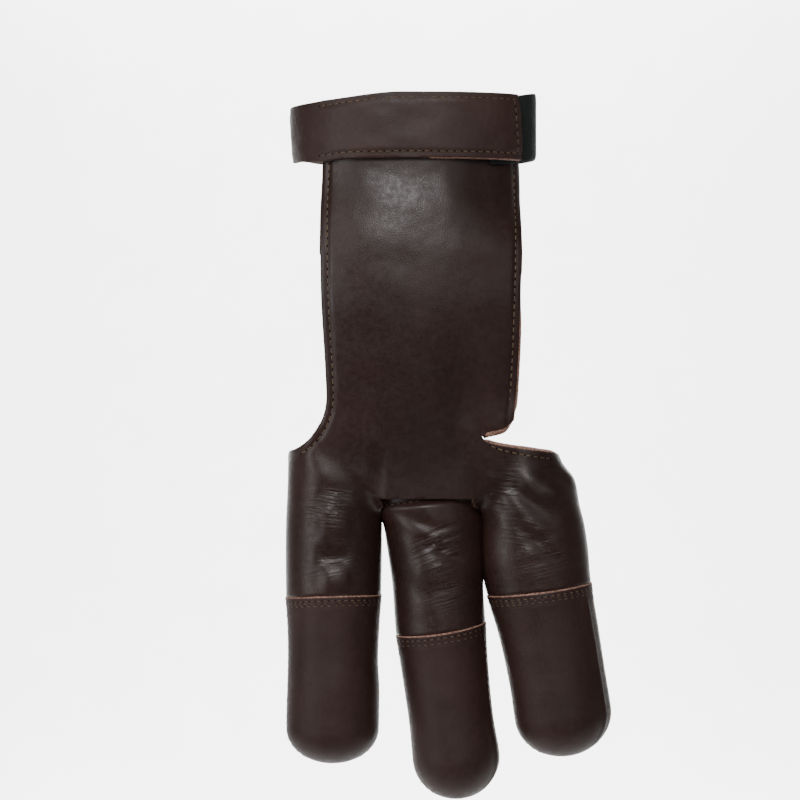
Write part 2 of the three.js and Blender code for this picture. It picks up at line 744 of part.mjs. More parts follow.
function addPiece(name, geometry, finish) {
  const piece = new THREE.Mesh(geometry, new THREE.MeshStandardMaterial(finish));
  piece.name = name;
  glove.add(piece);
}

addPiece('palm_leather', palmLeather(), SOFT_LEATHER);
addPiece('middle_front', middleFront(), SOFT_LEATHER);
for (const stall of [INDEX, MIDDLE, RING]) {
  addPiece(`${stall.name}_back`, stallBack(stall), SOFT_LEATHER);
  addPiece(`${stall.name}_cap_front`, capHalf(stall, -1), CAP_LEATHER);
  addPiece(`${stall.name}_cap_back`, capHalf(stall, 1), CAP_LEATHER);
}
addPiece('wrist_strap', wristStrap(), STRAP_LEATHER);
addPiece('elastic_band', elasticBand(), BLACK_ELASTIC);

export default glove;
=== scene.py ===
import math

import bpy
import numpy as np
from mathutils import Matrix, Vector


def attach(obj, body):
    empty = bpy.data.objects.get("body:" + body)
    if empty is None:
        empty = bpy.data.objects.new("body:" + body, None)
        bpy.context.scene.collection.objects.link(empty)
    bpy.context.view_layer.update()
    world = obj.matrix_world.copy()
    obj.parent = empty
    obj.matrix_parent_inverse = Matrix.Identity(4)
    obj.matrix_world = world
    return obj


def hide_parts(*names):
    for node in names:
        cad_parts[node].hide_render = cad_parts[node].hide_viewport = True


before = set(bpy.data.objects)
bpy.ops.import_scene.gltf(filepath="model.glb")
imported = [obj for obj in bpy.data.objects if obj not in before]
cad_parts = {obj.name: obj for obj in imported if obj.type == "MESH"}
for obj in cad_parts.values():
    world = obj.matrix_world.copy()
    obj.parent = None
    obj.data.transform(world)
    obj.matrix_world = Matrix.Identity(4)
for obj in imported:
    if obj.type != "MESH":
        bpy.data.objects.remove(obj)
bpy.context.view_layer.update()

# An archery glove in the shape that it has when worn: a palm panel, three
# stalls with sewn tip caps, and a loop of leather strap and black elastic.
# Lengths here are millimetres until a mesh is made, and the scene is in metres.

MM = 0.001

# Sizes that the solids have too
PALM_WALL = 1.4
CAP_WALL = 1.8
STRAP_WALL = 1.8
ELASTIC_WALL = 1.2
GAP = 0.3
FACET_ROOM = 0.15
WRIST_WIDTH = 71.6
WRIST_DEPTH = 47.0
WRIST_SQUARENESS = 2.3
STRAP_HEIGHT = 18.6
STRAP_SIDE_HEIGHT = 15.4
STRAP_SIDE_SAG = 0.7
STRAP_DROP_START_X = -4.0
STRAP_DROP_FULL_X = -30.0
STRAP_CENTRE_Z = 0.5
STRAP_PAST_PANEL = 0.1
STRAP_BACK_X = -12.0
ELASTIC_HEIGHT = 19.0
ELASTIC_BACK_HEIGHT = 16.6
ELASTIC_RISE = 2.4
ELASTIC_BACK_DROP = 0.6
ELASTIC_SPRING = 0.8
ELASTIC_EASE_TURN = 0.3
PANEL_TOP_Z = 8.0
PANEL_LENGTH = 114.0
PANEL_WIDTH = 57.4
PANEL_CENTRE_X = 1.6
PALM_DEPTH = 24.0
PANEL_EDGE_DROP = 3.4
WRIST_BLEND = 28.0
EDGE_CLEAR = 2.0
NOTCH_WIDTH = 14.6
NOTCH_HEIGHT = 16.5
SLOT_ABOVE_ROOT = 4.7
SLOT_RISE = 2.4
SLOT_CORNER = 2.8
SLOT_DROP = 5.4
SLOT_LIFT = 1.1
STALL_RISE = 13.0
WEB_DROP = 7.0
LAP_SHOULDER = 2.2
MIDDLE_LAP = 7.0
STALL_SETBACK = 4.0
STALL_CURL = 3.0
STALL_DEPTH = 24.0
STALL_SPACE = 0.05
INDEX_AXIS_X = -23.2
INDEX_WIDTH = 27.0
MIDDLE_WIDTH = 26.0
RING_WIDTH = 29.0
MIDDLE_LEAN = 0.103
RING_SPLAY = 0.0726
WEB_INSET = 1.3
ROUNDING_RUN = 38.0
LEAN_RUN = 12.0
BACK_BELOW = 0.8
MIDDLE_BACK_ARCH = 10.0
CAP_LAP = 5.5

CROTCH_Z = PANEL_TOP_Z - PANEL_LENGTH
ROOT_Z = CROTCH_Z + STALL_RISE
WEB_Z = CROTCH_Z - WEB_DROP
NOTCH_TOP_Z = ROOT_Z + NOTCH_HEIGHT
SLOT_Z = ROOT_Z + SLOT_ABOVE_ROOT
STRAP_END_X = PANEL_CENTRE_X + PANEL_WIDTH / 2 + STRAP_PAST_PANEL
STRAP_FOOT_Z = STRAP_CENTRE_Z - STRAP_HEIGHT / 2
TUCK = PALM_WALL + GAP
CAP_TUCK = CAP_WALL + GAP + FACET_ROOM
MIDDLE_LAP_TURN = 0.3 * math.pi
RING_ROOT_WIDTH = 0.86

# Sizes that the finished leather has and the plain solids don't, or not quite:
# the ends of strap and elastic, the tuck under the caps, the web between the
# stalls and the panel's swell below the strap
STRAP_TAPER = 0.5
STRAP_SIDE_DROP = 2.1
STRAP_END_LEAN = 0.06
STRAP_CORNER_X = -26.5
STRAP_CORNER_DROP = 0.9
STRAP_CORNER_REACH = 0.8
ELASTIC_LAP = 7.0
ELASTIC_END_CENTRE_Z = -0.75
ELASTIC_STEP = 15.0
CAP_SHOULDER = 0.15
CAP_SEAT = 1.6
WEB_RUN = 3.0
WEB_SWELL_RIGHT = 1.5
WEB_SWELL_LEFT = 1.3
HEEL_SWELL = 1.6
HEEL_Z = -24.0
HEEL_ABOVE = 9.0
HEEL_BELOW = 30.0

# What cutting leaves to see: skived laps, bevelled raw edges and rounded rims,
# and the ribs of the elastic
CAP_SKIVE = 0.34
CAP_BEVEL = 0.5
STRAP_SKIVE = 0.3
SLOT_BEVEL = 1.5
SLOT_LOWER_BEVEL = 0.6 * SLOT_BEVEL
SLOT_TIP = 0.1
SLOT_FADE = 0.8
SLOT_BEND_RUN = 14.0
SLOT_RIM_X = 20.0
SIDE_BEVEL = 1.0
SIDE_BEVEL_TOP_Z = -42.0
SIDE_BEVEL_RUN = 16.0
CORNER_BEVEL = 0.4
CORNER_RUN = 6.0
LEATHER_BULGE = 0.18
ELASTIC_BULGE = 0.1
RIB_PITCH = 1.0

# What sewing leaves to see. Rows are measured from the edge that they follow,
# the strap's on a strap taken as 16 high, and a START or TURN is in radians.
SEAM_INSET = 2.0
RIGHT_SEAM_INSET = 1.7
FURROW = 0.75
STITCH_PITCH = 2.2
CAP_STITCH_PITCH = 2.0
THREAD = 0.42
FINE_THREAD = 0.85 * THREAD
STITCH_STAND = 0.12
PIT_DEPTH = 0.09
PIT_SINK = 0.02
CAP_ROW_1 = 1.5
CAP_ROW_2 = 2.9
CAP_ROW_START = 0.12
ZIGZAG_START = 0.14
CAP_SEAM = 1.5
CAP_SEAM_TOP = 4.5
CAP_SEAM_FOOT = 0.62
PANEL_ROW_TUCK = 3.0
NOTCH_ROW_TURN = 1.13
SIDE_ROW_FOOT = 7.5
SLOT_ROW_X = 21.5
SLOT_TIP_X = 20.6
SLOT_ROW_DROP = 1.4
STRAP_ROW_1 = 1.3
STRAP_ROW_2 = 14.5
STRAP_SEWN_HEIGHT = 16.0
STRAP_END_INSET = 0.9

# Length of leather for each radian round a stall and round the strap's loop
STALL_ROUND = 13.0
WRIST_ROUND = 35.0

# How fine the meshes are
CELL = 0.7
FINE_CELL = 0.65
SIDE_CELLS = 46
SLOT_CELLS = 9
BACK_CELLS = 56
BACK_ROWS = 62
FRONT_CELLS = 60
CAP_CELLS = 64
DOME_ROWS = 26
STRAP_ROWS = 32
STRAP_COLUMNS = 230
ELASTIC_ROWS = 92
ELASTIC_COLUMNS = 220
SHARP_DEGREES = 52
RIM_STEPS = ((0.12, 0.6), (0.5, 1.0), (0.88, 0.6))


def sections(keys, *rows):
    return {key: np.array(column) for key, column in zip(keys, zip(*rows))}


INDEX = {
    "name": "index", "root": ROOT_Z, "length": 89.8, "axis": INDEX_AXIS_X, "lean": 0.0,
    "half_width": INDEX_WIDTH / 2, "cap_top": 0.4465, "dome": 0.113,
    "edge_drop": (1.8, 0.75, 1.0), "flange": 0.0,
    "sections": sections(
        ("along", "shift", "width", "depth"),
        (0.0, -0.01, 0.995, 1.02),
        (0.1, -0.008, 1.008, 1.02),
        (0.25, -0.019, 1.035, 1.0),
        (0.4465, -0.026, 1.024, 0.97),
        (0.59, -0.03, 0.98, 0.95),
        (0.67, -0.038, 0.968, 0.95),
        (0.76, -0.03, 0.99, 0.96),
        (0.84, -0.041, 0.995, 0.95),
        (1.0, -0.05, 0.985, 0.9),
    ),
}
MIDDLE = {
    "name": "middle", "root": CROTCH_Z + MIDDLE_LAP, "length": 94.0,
    "axis": INDEX_AXIS_X + INDEX_WIDTH / 2 + STALL_SPACE + MIDDLE_WIDTH / 2, "lean": MIDDLE_LEAN,
    "half_width": MIDDLE_WIDTH / 2, "cap_top": 0.471, "dome": 0.128,
    "edge_drop": (1.35, 1.35, 0.1), "flange": 5.2,
    "sections": sections(
        ("along", "shift", "width", "depth"),
        (0.0, -0.06, 1.06, 0.99),
        (0.09, -0.045, 1.06, 1.04),
        (0.16, -0.01, 1.045, 1.05),
        (0.235, -0.022, 1.008, 1.01),
        (0.335, -0.005, 1.0, 0.98),
        (0.471, -0.035, 1.0, 0.96),
        (0.65, -0.03, 0.95, 0.94),
        (0.77, -0.01, 0.935, 0.94),
        (0.872, 0.01, 0.965, 0.95),
        (1.0, 0.0, 0.95, 0.9),
    ),
}
RING = {
    "name": "ring", "root": ROOT_Z, "length": 87.6,
    "axis": MIDDLE["axis"] + MIDDLE_WIDTH / 2 + STALL_SPACE + RING_ROOT_WIDTH * RING_WIDTH / 2,
    "lean": MIDDLE_LEAN + RING_SPLAY,
    "half_width": RING_WIDTH / 2, "cap_top": 0.4463, "dome": 0.137,
    "edge_drop": (-0.25, 0.7, 1.15), "flange": 7.3,
    "sections": sections(
        ("along", "shift", "width", "depth"),
        (0.0, -0.045, RING_ROOT_WIDTH, 1.0),
        (0.06, 0.0, 0.9, 1.0),
        (0.115, 0.095, 0.98, 1.0),
        (0.2, 0.09, 1.0, 1.02),
        (0.265, 0.07, 1.045, 1.02),
        (0.345, 0.035, 1.07, 1.0),
        (0.4463, 0.02, 1.03, 0.97),
        (0.6, 0.06, 0.975, 0.95),
        (0.75, 0.065, 0.95, 0.95),
        (0.863, 0.05, 0.955, 0.94),
        (1.0, 0.03, 0.93, 0.9),
    ),
}
STALLS = (INDEX, MIDDLE, RING)
OUTER_STALLS = (INDEX, RING)

PANEL_SECTIONS = sections(
    ("down", "left", "right", "front"),
    (0.0, 0.975, 0.985, 0.9),
    (0.17, 0.985, 1.005, 0.92),
    (0.25, 1.0, 1.01, 0.95),
    (0.39, 1.0, 1.005, 0.985),
    (0.51, 0.99, 0.99, 1.0),
    (0.63, 0.96, 0.975, 0.94),
    (0.73, 0.94, 0.955, 0.865),
    (0.8, 0.94, 0.93, 0.81),
    (0.9, 0.94, 0.93, 0.735),
    (1.0, 0.94, 0.93, 0.69),
)

# Dents as in the solids: place across and down, reach and spread as shares of
# the panel's size, depth as a share of its wall, and lean in turns
FRONT_DENTS = (
    (0.42, 0.76, 0.16, 0.11, 0.9, 0.01),
    (-0.45, 0.97, 0.1, 0.05, 0.7, -0.02),
    (0.62, 1.0, 0.08, 0.05, 0.8, 0.03),
    (1.05, 1.0, 0.09, 0.035, 0.6, 0.14),
    (1.2, 1.12, 0.1, 0.035, 0.55, 0.13),
)
MIDDLE_DENTS = (
    (0.0, 1.06, 0.07, 0.03, 0.55, 0.19),
    (0.2, 1.13, 0.08, 0.035, 0.6, 0.18),
)

# Broad folds where the stalls bend: the two ends of each ridge,
# its half width and its height, in millimetres
RIDGES = (
    (1.5, -119.2, 13.0, -114.4, 0.85, 0.34),
    (3.0, -121.4, 13.5, -117.4, 0.8, 0.28),
    (5.0, -123.6, 13.0, -120.6, 0.75, 0.24),
    (6.0, -126.2, 11.5, -123.6, 0.8, 0.16),
    (5.0, -134.2, 14.0, -132.8, 0.9, 0.12),
    (22.0, -97.0, 30.5, -110.6, 2.2, 0.22),
    (31.0, -112.2, 38.0, -116.2, 1.8, 0.18),
    (30.0, -122.9, 41.0, -119.0, 1.8, 0.2),
    (33.0, -94.5, 45.0, -102.5, 3.0, -0.55),
    (37.5, -101.5, 42.5, -107.0, 3.4, 0.45),
    (-28.0, -113.5, -18.5, -113.5, 5.2, 1.05),
    (-27.0, -129.8, -18.5, -129.4, 3.8, 0.9),
    (-30.5, -109.4, -19.5, -108.6, 0.8, 0.1),
    (-29.5, -126.6, -20.0, -124.4, 1.0, 0.12),
    (-1.0, -127.5, 11.0, -126.0, 3.6, 0.35),
    (-14.0, -86.0, -8.0, -99.0, 2.2, 0.2),
    (14.0, -84.0, 19.5, -97.0, 2.6, 0.3),
)

# Patches of fine creases, drawn by the leather's own relief: centre x and z,
# reach along and across the creases, their pitch in millimetres, lean in
# degrees, and depth as a share
FINE_CREASES = (
    (-23.4, -108.6, 10.0, 6.5, 1.05, -7, 1.3),
    (-23.0, -119.5, 8.0, 4.5, 1.0, 4, 0.4),
    (-25.0, -125.6, 11.0, 5.0, 1.1, 11, 0.35),
    (7.5, -119.5, 10.5, 8.5, 1.45, 20, 0.65),
    (9.5, -133.0, 9.5, 6.0, 1.1, 16, 0.4),
    (25.8, -102.6, 6.0, 11.0, 1.35, -4, 0.5),
    (33.5, -115.0, 11.0, 7.5, 1.25, -8, 0.45),
    (38.5, -123.0, 12.0, 7.5, 1.15, 14, 0.45),
)


# Shapes

def mix(a, b, t):
    return a + (b - a) * t


def smooth(start, end, value):
    t = np.clip((np.asarray(value, float) - start) / (end - start), 0.0, 1.0)
    return t * t * (3 - 2 * t)


def bump(distance, width):
    return np.exp(-(distance / width) ** 2)


def sample(table, key, column, at):
    """A smooth curve through one column of a table of sections."""
    keys = table[key]
    values = table[column]
    at = np.asarray(at, float)
    last = len(keys) - 1
    k = np.clip(np.searchsorted(keys, at, side="left") - 1, 0, last - 1)
    before = np.maximum(k - 1, 0)
    after = np.minimum(k + 2, last)
    span = keys[k + 1] - keys[k]
    t = np.clip((at - keys[k]) / span, 0.0, 1.0)
    slope_in = (values[k + 1] - values[before]) / (keys[k + 1] - keys[before]) * span
    slope_out = (values[after] - values[k]) / (keys[after] - keys[k]) * span
    t2 = t * t
    t3 = t2 * t
    return (
        (2 * t3 - 3 * t2 + 1) * values[k] + (t3 - 2 * t2 + t) * slope_in
        + (3 * t2 - 2 * t3) * values[k + 1] + (t3 - t2) * slope_out
    )


def stall_section(stall, level):
    """Centre and half axes of a stall's section at a height on its axis."""
    drop = stall["root"] - np.asarray(level, float)
    along = drop / stall["length"]
    table = stall["sections"]
    x = stall["axis"] + stall["lean"] * drop + stall["half_width"] * sample(table, "along", "shift", along)
    y = -STALL_SETBACK - STALL_CURL * np.maximum(0, along) ** 2
    a = stall["half_width"] * sample(table, "along", "width", along)
    b = STALL_DEPTH / 2 * sample(table, "along", "depth", along)
    return x, y, a, b


def cap_top(stall):
    return stall["root"] - stall["length"] * stall["cap_top"]


def edge_drop(stall, share):
    """How far the cap's upper edge hangs below its level, for a share that runs
    from -1 at the left seam to 1 at the right."""
    left, middle, right = stall["edge_drop"]
    return middle + (right - left) / 2 * share + ((left + right) / 2 - middle) * share ** 2


def leg_section(stall, level, share=0.0):
    """The same for the thin leather, which tucks under the cap and the panel."""
    x, y, a, b = stall_section(stall, level)
    top = cap_top(stall) - edge_drop(stall, share)
    cap_tuck = CAP_TUCK * smooth(top + CAP_SHOULDER, top - CAP_SEAT, level)
    lap = TUCK * smooth(CROTCH_Z - LAP_SHOULDER, CROTCH_Z - GAP, level) if stall is MIDDLE else 0.0
    return x, y, a - cap_tuck, b - cap_tuck - lap


def level_at(stall, x, z):
    level = np.asarray(z, float)
    for _ in range(8):
        level = z - stall["lean"] * (x - leg_section(stall, level)[0])
    return level


def seam_x(stall, side, z):
    """Where the stall's side seam passes the height z."""
    z = np.asarray(z, float)
    level = z
    for _ in range(8):
        level = z - stall["lean"] * side * leg_section(stall, level, side)[2]
    x, _, a, _ = leg_section(stall, level, side)
    return x + side * a


def dent_y(dents, x, z):
    y = 0.0
    for at_x, down, reach, width, depth, lean in dents:
        dx = x - PANEL_CENTRE_X - at_x * PANEL_WIDTH / 2
        dz = z - PANEL_TOP_Z + down * PANEL_LENGTH
        turn = lean * 2 * math.pi
        across = (dx * math.cos(turn) + dz * math.sin(turn)) / (width * PANEL_WIDTH)
        along = (dz * math.cos(turn) - dx * math.sin(turn)) / (reach * PANEL_LENGTH)
        y = y + depth * PALM_WALL * np.exp(-across * across - along * along)
    return y


def loop_front_y(x, inset):
    share = np.minimum(1.0, np.abs(x) / (WRIST_WIDTH / 2 - inset))
    rest = (1 - share ** WRIST_SQUARENESS) ** (1 / WRIST_SQUARENESS)
    return -(WRIST_DEPTH / 2 - inset) * rest


def loop_point(angle, inset):
    power = 2 / WRIST_SQUARENESS
    c = np.cos(angle)
    s = np.sin(angle)
    x = (WRIST_WIDTH / 2 - inset) * np.sign(c) * np.abs(c) ** power
    y = (WRIST_DEPTH / 2 - inset) * np.sign(s) * np.abs(s) ** power
    return x, y


def loop_angle(x, front):
    angle = math.acos(math.copysign(abs(2 * x / WRIST_WIDTH) ** (WRIST_SQUARENESS / 2), x))
    return 2 * math.pi - angle if front else angle


def palm_y(x, z):
    down = (PANEL_TOP_Z - z) / PANEL_LENGTH
    share = np.minimum(1.0, np.abs(x - PANEL_CENTRE_X) / (PANEL_WIDTH / 2))
    flat = (
        -PALM_DEPTH * sample(PANEL_SECTIONS, "down", "front", down)
        + PANEL_EDGE_DROP * share ** 2.5 + dent_y(FRONT_DENTS, x, z)
    )
    elastic_end = STRAP_END_X - ELASTIC_LAP
    room = (ELASTIC_WALL + GAP) * smooth(elastic_end - ELASTIC_STEP, elastic_end - EDGE_CLEAR, x)
    under_strap = loop_front_y(x, STRAP_WALL + GAP + room)
    near_heel = bump(z - HEEL_Z, np.where(z > HEEL_Z, HEEL_ABOVE, HEEL_BELOW))
    heel = HEEL_SWELL * near_heel * (1 - share * share)
    return mix(flat, under_strap, smooth(STRAP_FOOT_Z - WRIST_BLEND, STRAP_FOOT_Z - EDGE_CLEAR, z)) - heel


def front_y(x, z, stalls):
    y = palm_y(x, z)
    for stall in stalls:
        left = seam_x(stall, -1, z)
        right = seam_x(stall, 1, z)
        outer, inner = (right, left) if stall is RING else (left, right)
        share = np.minimum(1.3, (x - outer) / (inner - outer))
        weight = smooth(mix(NOTCH_TOP_Z, CROTCH_Z, share), mix(ROOT_Z, WEB_Z, share), z)
        level = level_at(stall, x, z)
        cx, _, a, _ = stall_section(stall, level)
        cx, cy, a, b = leg_section(stall, level, np.clip((x - cx) / a, -1, 1))
        u = np.minimum(1.0, np.abs(x - cx) / a)
        flat = np.sqrt(1 - u * u)
        round_y = cy - GAP / 2 - (b - GAP / 2) * flat + dent_y(FRONT_DENTS, x, z) * flat
        y = mix(y, round_y, weight)
    return y


# Relief of the worn leather

def wander(u, v, size, phase):
    """Smooth uneven field of about -1 to 1, the same on every run."""
    total = 0.0
    for k in range(5):
        turn = phase + 2.4 * k
        rate = 2 * math.pi * (1 + 0.55 * k) / size
        wave = np.sin(rate * (u * math.cos(turn) + v * math.sin(turn)) + 1.9 * k + phase)
        total = total + wave / (1 + 0.5 * k)
    return total / 2.6


def crease_relief(x, z):
    """Broad folds: rounded ridges that thin out at both ends."""
    relief = 0.0
    for number, (x0, z0, x1, z1, width, height) in enumerate(RIDGES):
        length = math.hypot(x1 - x0, z1 - z0)
        run_x = (x1 - x0) / length
        run_z = (z1 - z0) / length
        bend = 0.5 * wander(x, z, 9.0, 1.3 * number)
        along = ((x - x0) * run_x + (z - z0) * run_z) / length
        across = (z - z0) * run_x - (x - x0) * run_z + bend
        taper = smooth(-0.15, 0.3, along) * smooth(1.15, 0.7, along)
        fold = bump(across, width) - 0.55 * bump(np.abs(across) - 1.7 * width, 0.6 * width)
        relief = relief + height * taper * fold
    return relief


def soft_relief(u, v, phase=0.0):
    return 0.16 * wander(u, v, 31.0, 0.4 + phase) + 0.05 * wander(u, v, 11.0, 1.1 + phase)


def notch_centre_x():
    return panel_edge_x(-1, NOTCH_TOP_Z) - NOTCH_WIDTH


def panel_edge_x(side, z):
    share = sample(PANEL_SECTIONS, "down", "left" if side < 0 else "right", (PANEL_TOP_Z - z) / PANEL_LENGTH)
    return PANEL_CENTRE_X + side * share * PANEL_WIDTH / 2


def notch_share(x, z):
    dx = (x - notch_centre_x()) / NOTCH_WIDTH
    dz = np.minimum(0.0, z - NOTCH_TOP_Z) / NOTCH_HEIGHT
    return np.sqrt(dx * dx + dz * dz)


def left_edge_gap(x, z):
    """Distance from the panel's left edge and from the round notch below it."""
    straight = x - panel_edge_x(-1, z)
    round_gap = (notch_share(x, z) - 1) * (NOTCH_WIDTH + NOTCH_HEIGHT) / 2
    return np.where(z > NOTCH_TOP_Z, straight, round_gap)


def front_relief(x, z, stalls):
    relief = soft_relief(x, z) + crease_relief(x, z)
    fade = 1.0
    for stall in stalls:
        for side in (-1, 1):
            gap = np.abs(x - seam_x(stall, side, z))
            held = smooth(ROOT_Z + 8, ROOT_Z - 4, z)
            fade = fade * mix(1.0, smooth(0.0, 3.0, gap), held)
    left = left_edge_gap(x, z)
    right = panel_edge_x(1, z) - x
    on_panel = smooth(SLOT_Z, SLOT_Z + 3, z)
    sewn = bump(left - SEAM_INSET, FURROW) + bump(right - RIGHT_SEAM_INSET, FURROW) * on_panel
    rolled = bump(left, 0.9) + bump(right, 0.9) * on_panel
    return relief * fade - 0.30 * sewn - 0.25 * rolled


def front_point(x, z, stalls, lift=0.0):
    """Outer and inner point of the front leather at x, z."""
    nudge = 1e-4
    y = front_y(x, z, stalls) - lift
    slope = (front_y(x + nudge, z, stalls) - front_y(x - nudge, z, stalls)) / (2 * nudge)
    length = np.hypot(1, slope)
    nx = slope / length
    ny = -1 / length
    relief = front_relief(x, z, stalls)
    outer = np.stack([x + nx * relief, y + ny * relief, z + 0 * x], -1)
    wall = PALM_WALL - 0.5 * relief
    inner = np.stack([x - nx * wall, y - ny * wall, z + 0 * x], -1)
    return outer, inner


# Meshes

GRAIN, FLESH, EDGE, PALE_EDGE = 0, 1, 2, 3


def unit(vectors):
    return vectors / np.maximum(np.linalg.norm(vectors, axis=-1, keepdims=True), 1e-9)


def in_scene(name, data):
    made = bpy.data.objects.new(name, data)
    bpy.context.scene.collection.objects.link(made)
    return made


def new_piece(name, points, faces, kinds, finishes):
    """A smooth mesh in the scene; kinds says which finish each face has."""
    mesh = bpy.data.meshes.new(name)
    mesh.from_pydata((np.asarray(points) * MM).tolist(), [], faces)
    mesh.polygons.foreach_set("material_index", kinds)
    mesh.polygons.foreach_set("use_smooth", [True] * len(faces))
    for finish in finishes:
        mesh.materials.append(finish)
    mesh.update()
    return in_scene(name, mesh)


def joined(grids):
    """Outer and inner points of several grids, shared ones merged, and their quads."""
    points = []
    quads = []
    offset = 0
    for outer, inner in grids:
        rows, columns = outer.shape[:2]
        ids = np.arange(rows * columns).reshape(rows, columns) + offset
        quads.append(np.stack([ids[:-1, :-1], ids[1:, :-1], ids[1:, 1:], ids[:-1, 1:]], -1).reshape(-1, 4))
        points.append(np.stack([outer.reshape(-1, 3), inner.reshape(-1, 3)], 1))
        offset += rows * columns
    points = np.concatenate(points)
    keys = np.round(points[:, 0], 3)
    _, first, merged = np.unique(keys, axis=0, return_index=True, return_inverse=True)
    return points[first], merged.reshape(-1)[np.concatenate(quads)]


def free_edges(quads, count):
    """The edges that only one quad has, in its own direction."""
    edges = np.concatenate([quads[:, [k, (k + 1) % 4]] for k in range(4)])
    edges = edges[edges[:, 0] != edges[:, 1]]
    forward = edges[:, 0].astype(np.int64) * count + edges[:, 1]
    backward = edges[:, 1].astype(np.int64) * count + edges[:, 0]
    return edges[~np.isin(forward, backward)]


def closed_sheet(name, node, grids, finishes, pale=None, bulge=LEATHER_BULGE):
    """One closed mesh of sheets, in place of one node of the solids: each grid is
    its outer and inner points. Grids that share points are joined, and a rounded
    rim closes every free edge. pale says where that rim shows the undyed cut."""
    points, quads = joined(grids)
    count = len(points)
    free = free_edges(quads, count)
    outer = points[:, 0]
    inner = points[:, 1]
    thick = unit(outer - inner)
    run = unit(outer[free[:, 1]] - outer[free[:, 0]])
    out = np.zeros_like(outer)
    for end in (0, 1):
        np.add.at(out, free[:, end], np.cross(run, thick[free[:, end]]))
    out = unit(out)

    rim = np.unique(free)
    rim_ids = np.full(count, -1)
    rim_ids[rim] = np.arange(len(rim))
    rings = [mix(outer[rim], inner[rim], t) + out[rim] * bulge * share for t, share in RIM_STEPS]
    levels = [free]
    for number in range(len(rings)):
        levels.append(rim_ids[free] + 2 * count + number * len(rim))
    levels.append(free + count)

    edge = np.full(len(free), EDGE)
    if pale:
        edge[pale(outer[free[:, 0]], out[free[:, 0]])] = PALE_EDGE
    faces = [quads, quads[:, ::-1] + count]
    kinds = [np.full(len(quads), GRAIN), np.full(len(quads), FLESH)]
    for upper, lower in zip(levels, levels[1:]):
        faces.append(np.stack([upper[:, 1], upper[:, 0], lower[:, 0], lower[:, 1]], -1))
        kinds.append(edge)
    kept = []
    kept_kinds = []
    for face, kind in zip(np.concatenate(faces).tolist(), np.concatenate(kinds).tolist()):
        corners = list(dict.fromkeys(face))
        if len(corners) > 2:
            kept.append(corners)
            kept_kinds.append(kind)
    piece = new_piece(name, np.concatenate([outer, inner, *rings]), kept, kept_kinds, finishes)
    piece.data.set_sharp_from_angle(angle=math.radians(SHARP_DEGREES))
    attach(piece, "root")
    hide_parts(node)


def bead(half_length, half_width, half_height, sides=7, rings=5, arch=0.0):
    """A small spindle along X, the shape of one sunk stitch or one needle pit."""
    points = [(-half_length, 0.0, -arch)]
    for r in range(1, rings):
        t = math.pi * r / rings
        x = -math.cos(t) * half_length
        for s in range(sides):
            turn = 2 * math.pi * s / sides
            height = math.sin(t) * half_height * math.sin(turn) - arch * math.cos(t) ** 2
            points.append((x, math.sin(t) * half_width * math.cos(turn), height))
    points.append((half_length, 0.0, -arch))
    faces = []
    for s in range(sides):
        after = (s + 1) % sides
        faces.append((0, 1 + after, 1 + s))
        for r in range(rings - 2):
            low = 1 + r * sides
            faces.append((low + s, low + after, low + sides + after, low + sides + s))
        low = 1 + (rings - 2) * sides
        faces.append((low + s, low + after, len(points) - 1))
    return np.array(points), faces


def beads_along(places, runs, ups, shape):
    """Copies of one bead shape, each laid along its run."""
    points, faces = shape
    runs = unit(runs)
    sides = unit(np.cross(ups, runs))
    ups = np.cross(runs, sides)
    made = (
        places[:, None] + points[None, :, :1] * runs[:, None]
        + points[None, :, 1:2] * sides[:, None] + points[None, :, 2:] * ups[:, None]
    )
    size = len(points)
    all_faces = []
    for k in range(len(places)):
        all_faces.extend([[corner + k * size for corner in face] for face in faces])
    return made.reshape(-1, 3), all_faces


def resampled(path, pitch):
    """Points at equal steps along a dense path."""
    step = np.linalg.norm(np.diff(path, axis=0), axis=1)
    run = np.concatenate([[0], np.cumsum(step)])
    count = max(2, int(round(run[-1] / pitch)))
    at = np.linspace(0, run[-1], count + 1)
    return np.stack([np.interp(at, run, path[:, k]) for k in range(path.shape[1])], -1)


def sewn_row(path, pitch=STITCH_PITCH, thread=THREAD, pit=1.0):
    """Stitches and needle pits along a path of points with outward directions."""
    track = resampled(path, pitch)
    points = track[:, :3]
    ups = unit(track[:, 3:])
    runs = np.diff(points, axis=0)
    middles = (points[1:] + points[:-1]) / 2
    middle_ups = (ups[1:] + ups[:-1]) / 2
    stitch = bead(pitch * 0.40, thread / 2, thread / 2, arch=thread * 0.35)
    hole = bead(pitch * 0.17 * pit, thread * 0.62 * pit, PIT_DEPTH, sides=8, rings=4)
    stitches = beads_along(middles + middle_ups * thread * STITCH_STAND, runs, middle_ups, stitch)
    pits = beads_along(points - ups * PIT_SINK, np.concatenate([runs, runs[-1:]]), ups, hole)
    return stitches, pits


def sewing(name, rows, thread):
    """One mesh of all the rows of stitches of a piece."""
    points = []
    faces = []
    kinds = []
    offset = 0
    for row in rows:
        for kind, (made, made_faces) in enumerate(row):
            points.append(made)
            faces.extend([[corner + offset for corner in face] for face in made_faces])
            kinds.extend([kind] * len(made_faces))
            offset += len(made)
    piece = new_piece(name, np.concatenate(points), faces, kinds, (thread, PIT))
    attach(piece, "root")


def path_on(surface, u, v, nudge=0.05):
    """Points and directions square to the surface, along u, v on a surface function."""
    u, v = np.broadcast_arrays(u, v)
    du = surface(u + nudge, v) - surface(u - nudge, v)
    dv = surface(u, v + nudge) - surface(u, v - nudge)
    return np.concatenate([surface(u, v), unit(np.cross(dv, du))], 1)


# To the front, and what is left of a place when its height is dropped
FORWARD = (0.0, -1.0, 0.0)
LEVEL = (1.0, 1.0, 0.0)


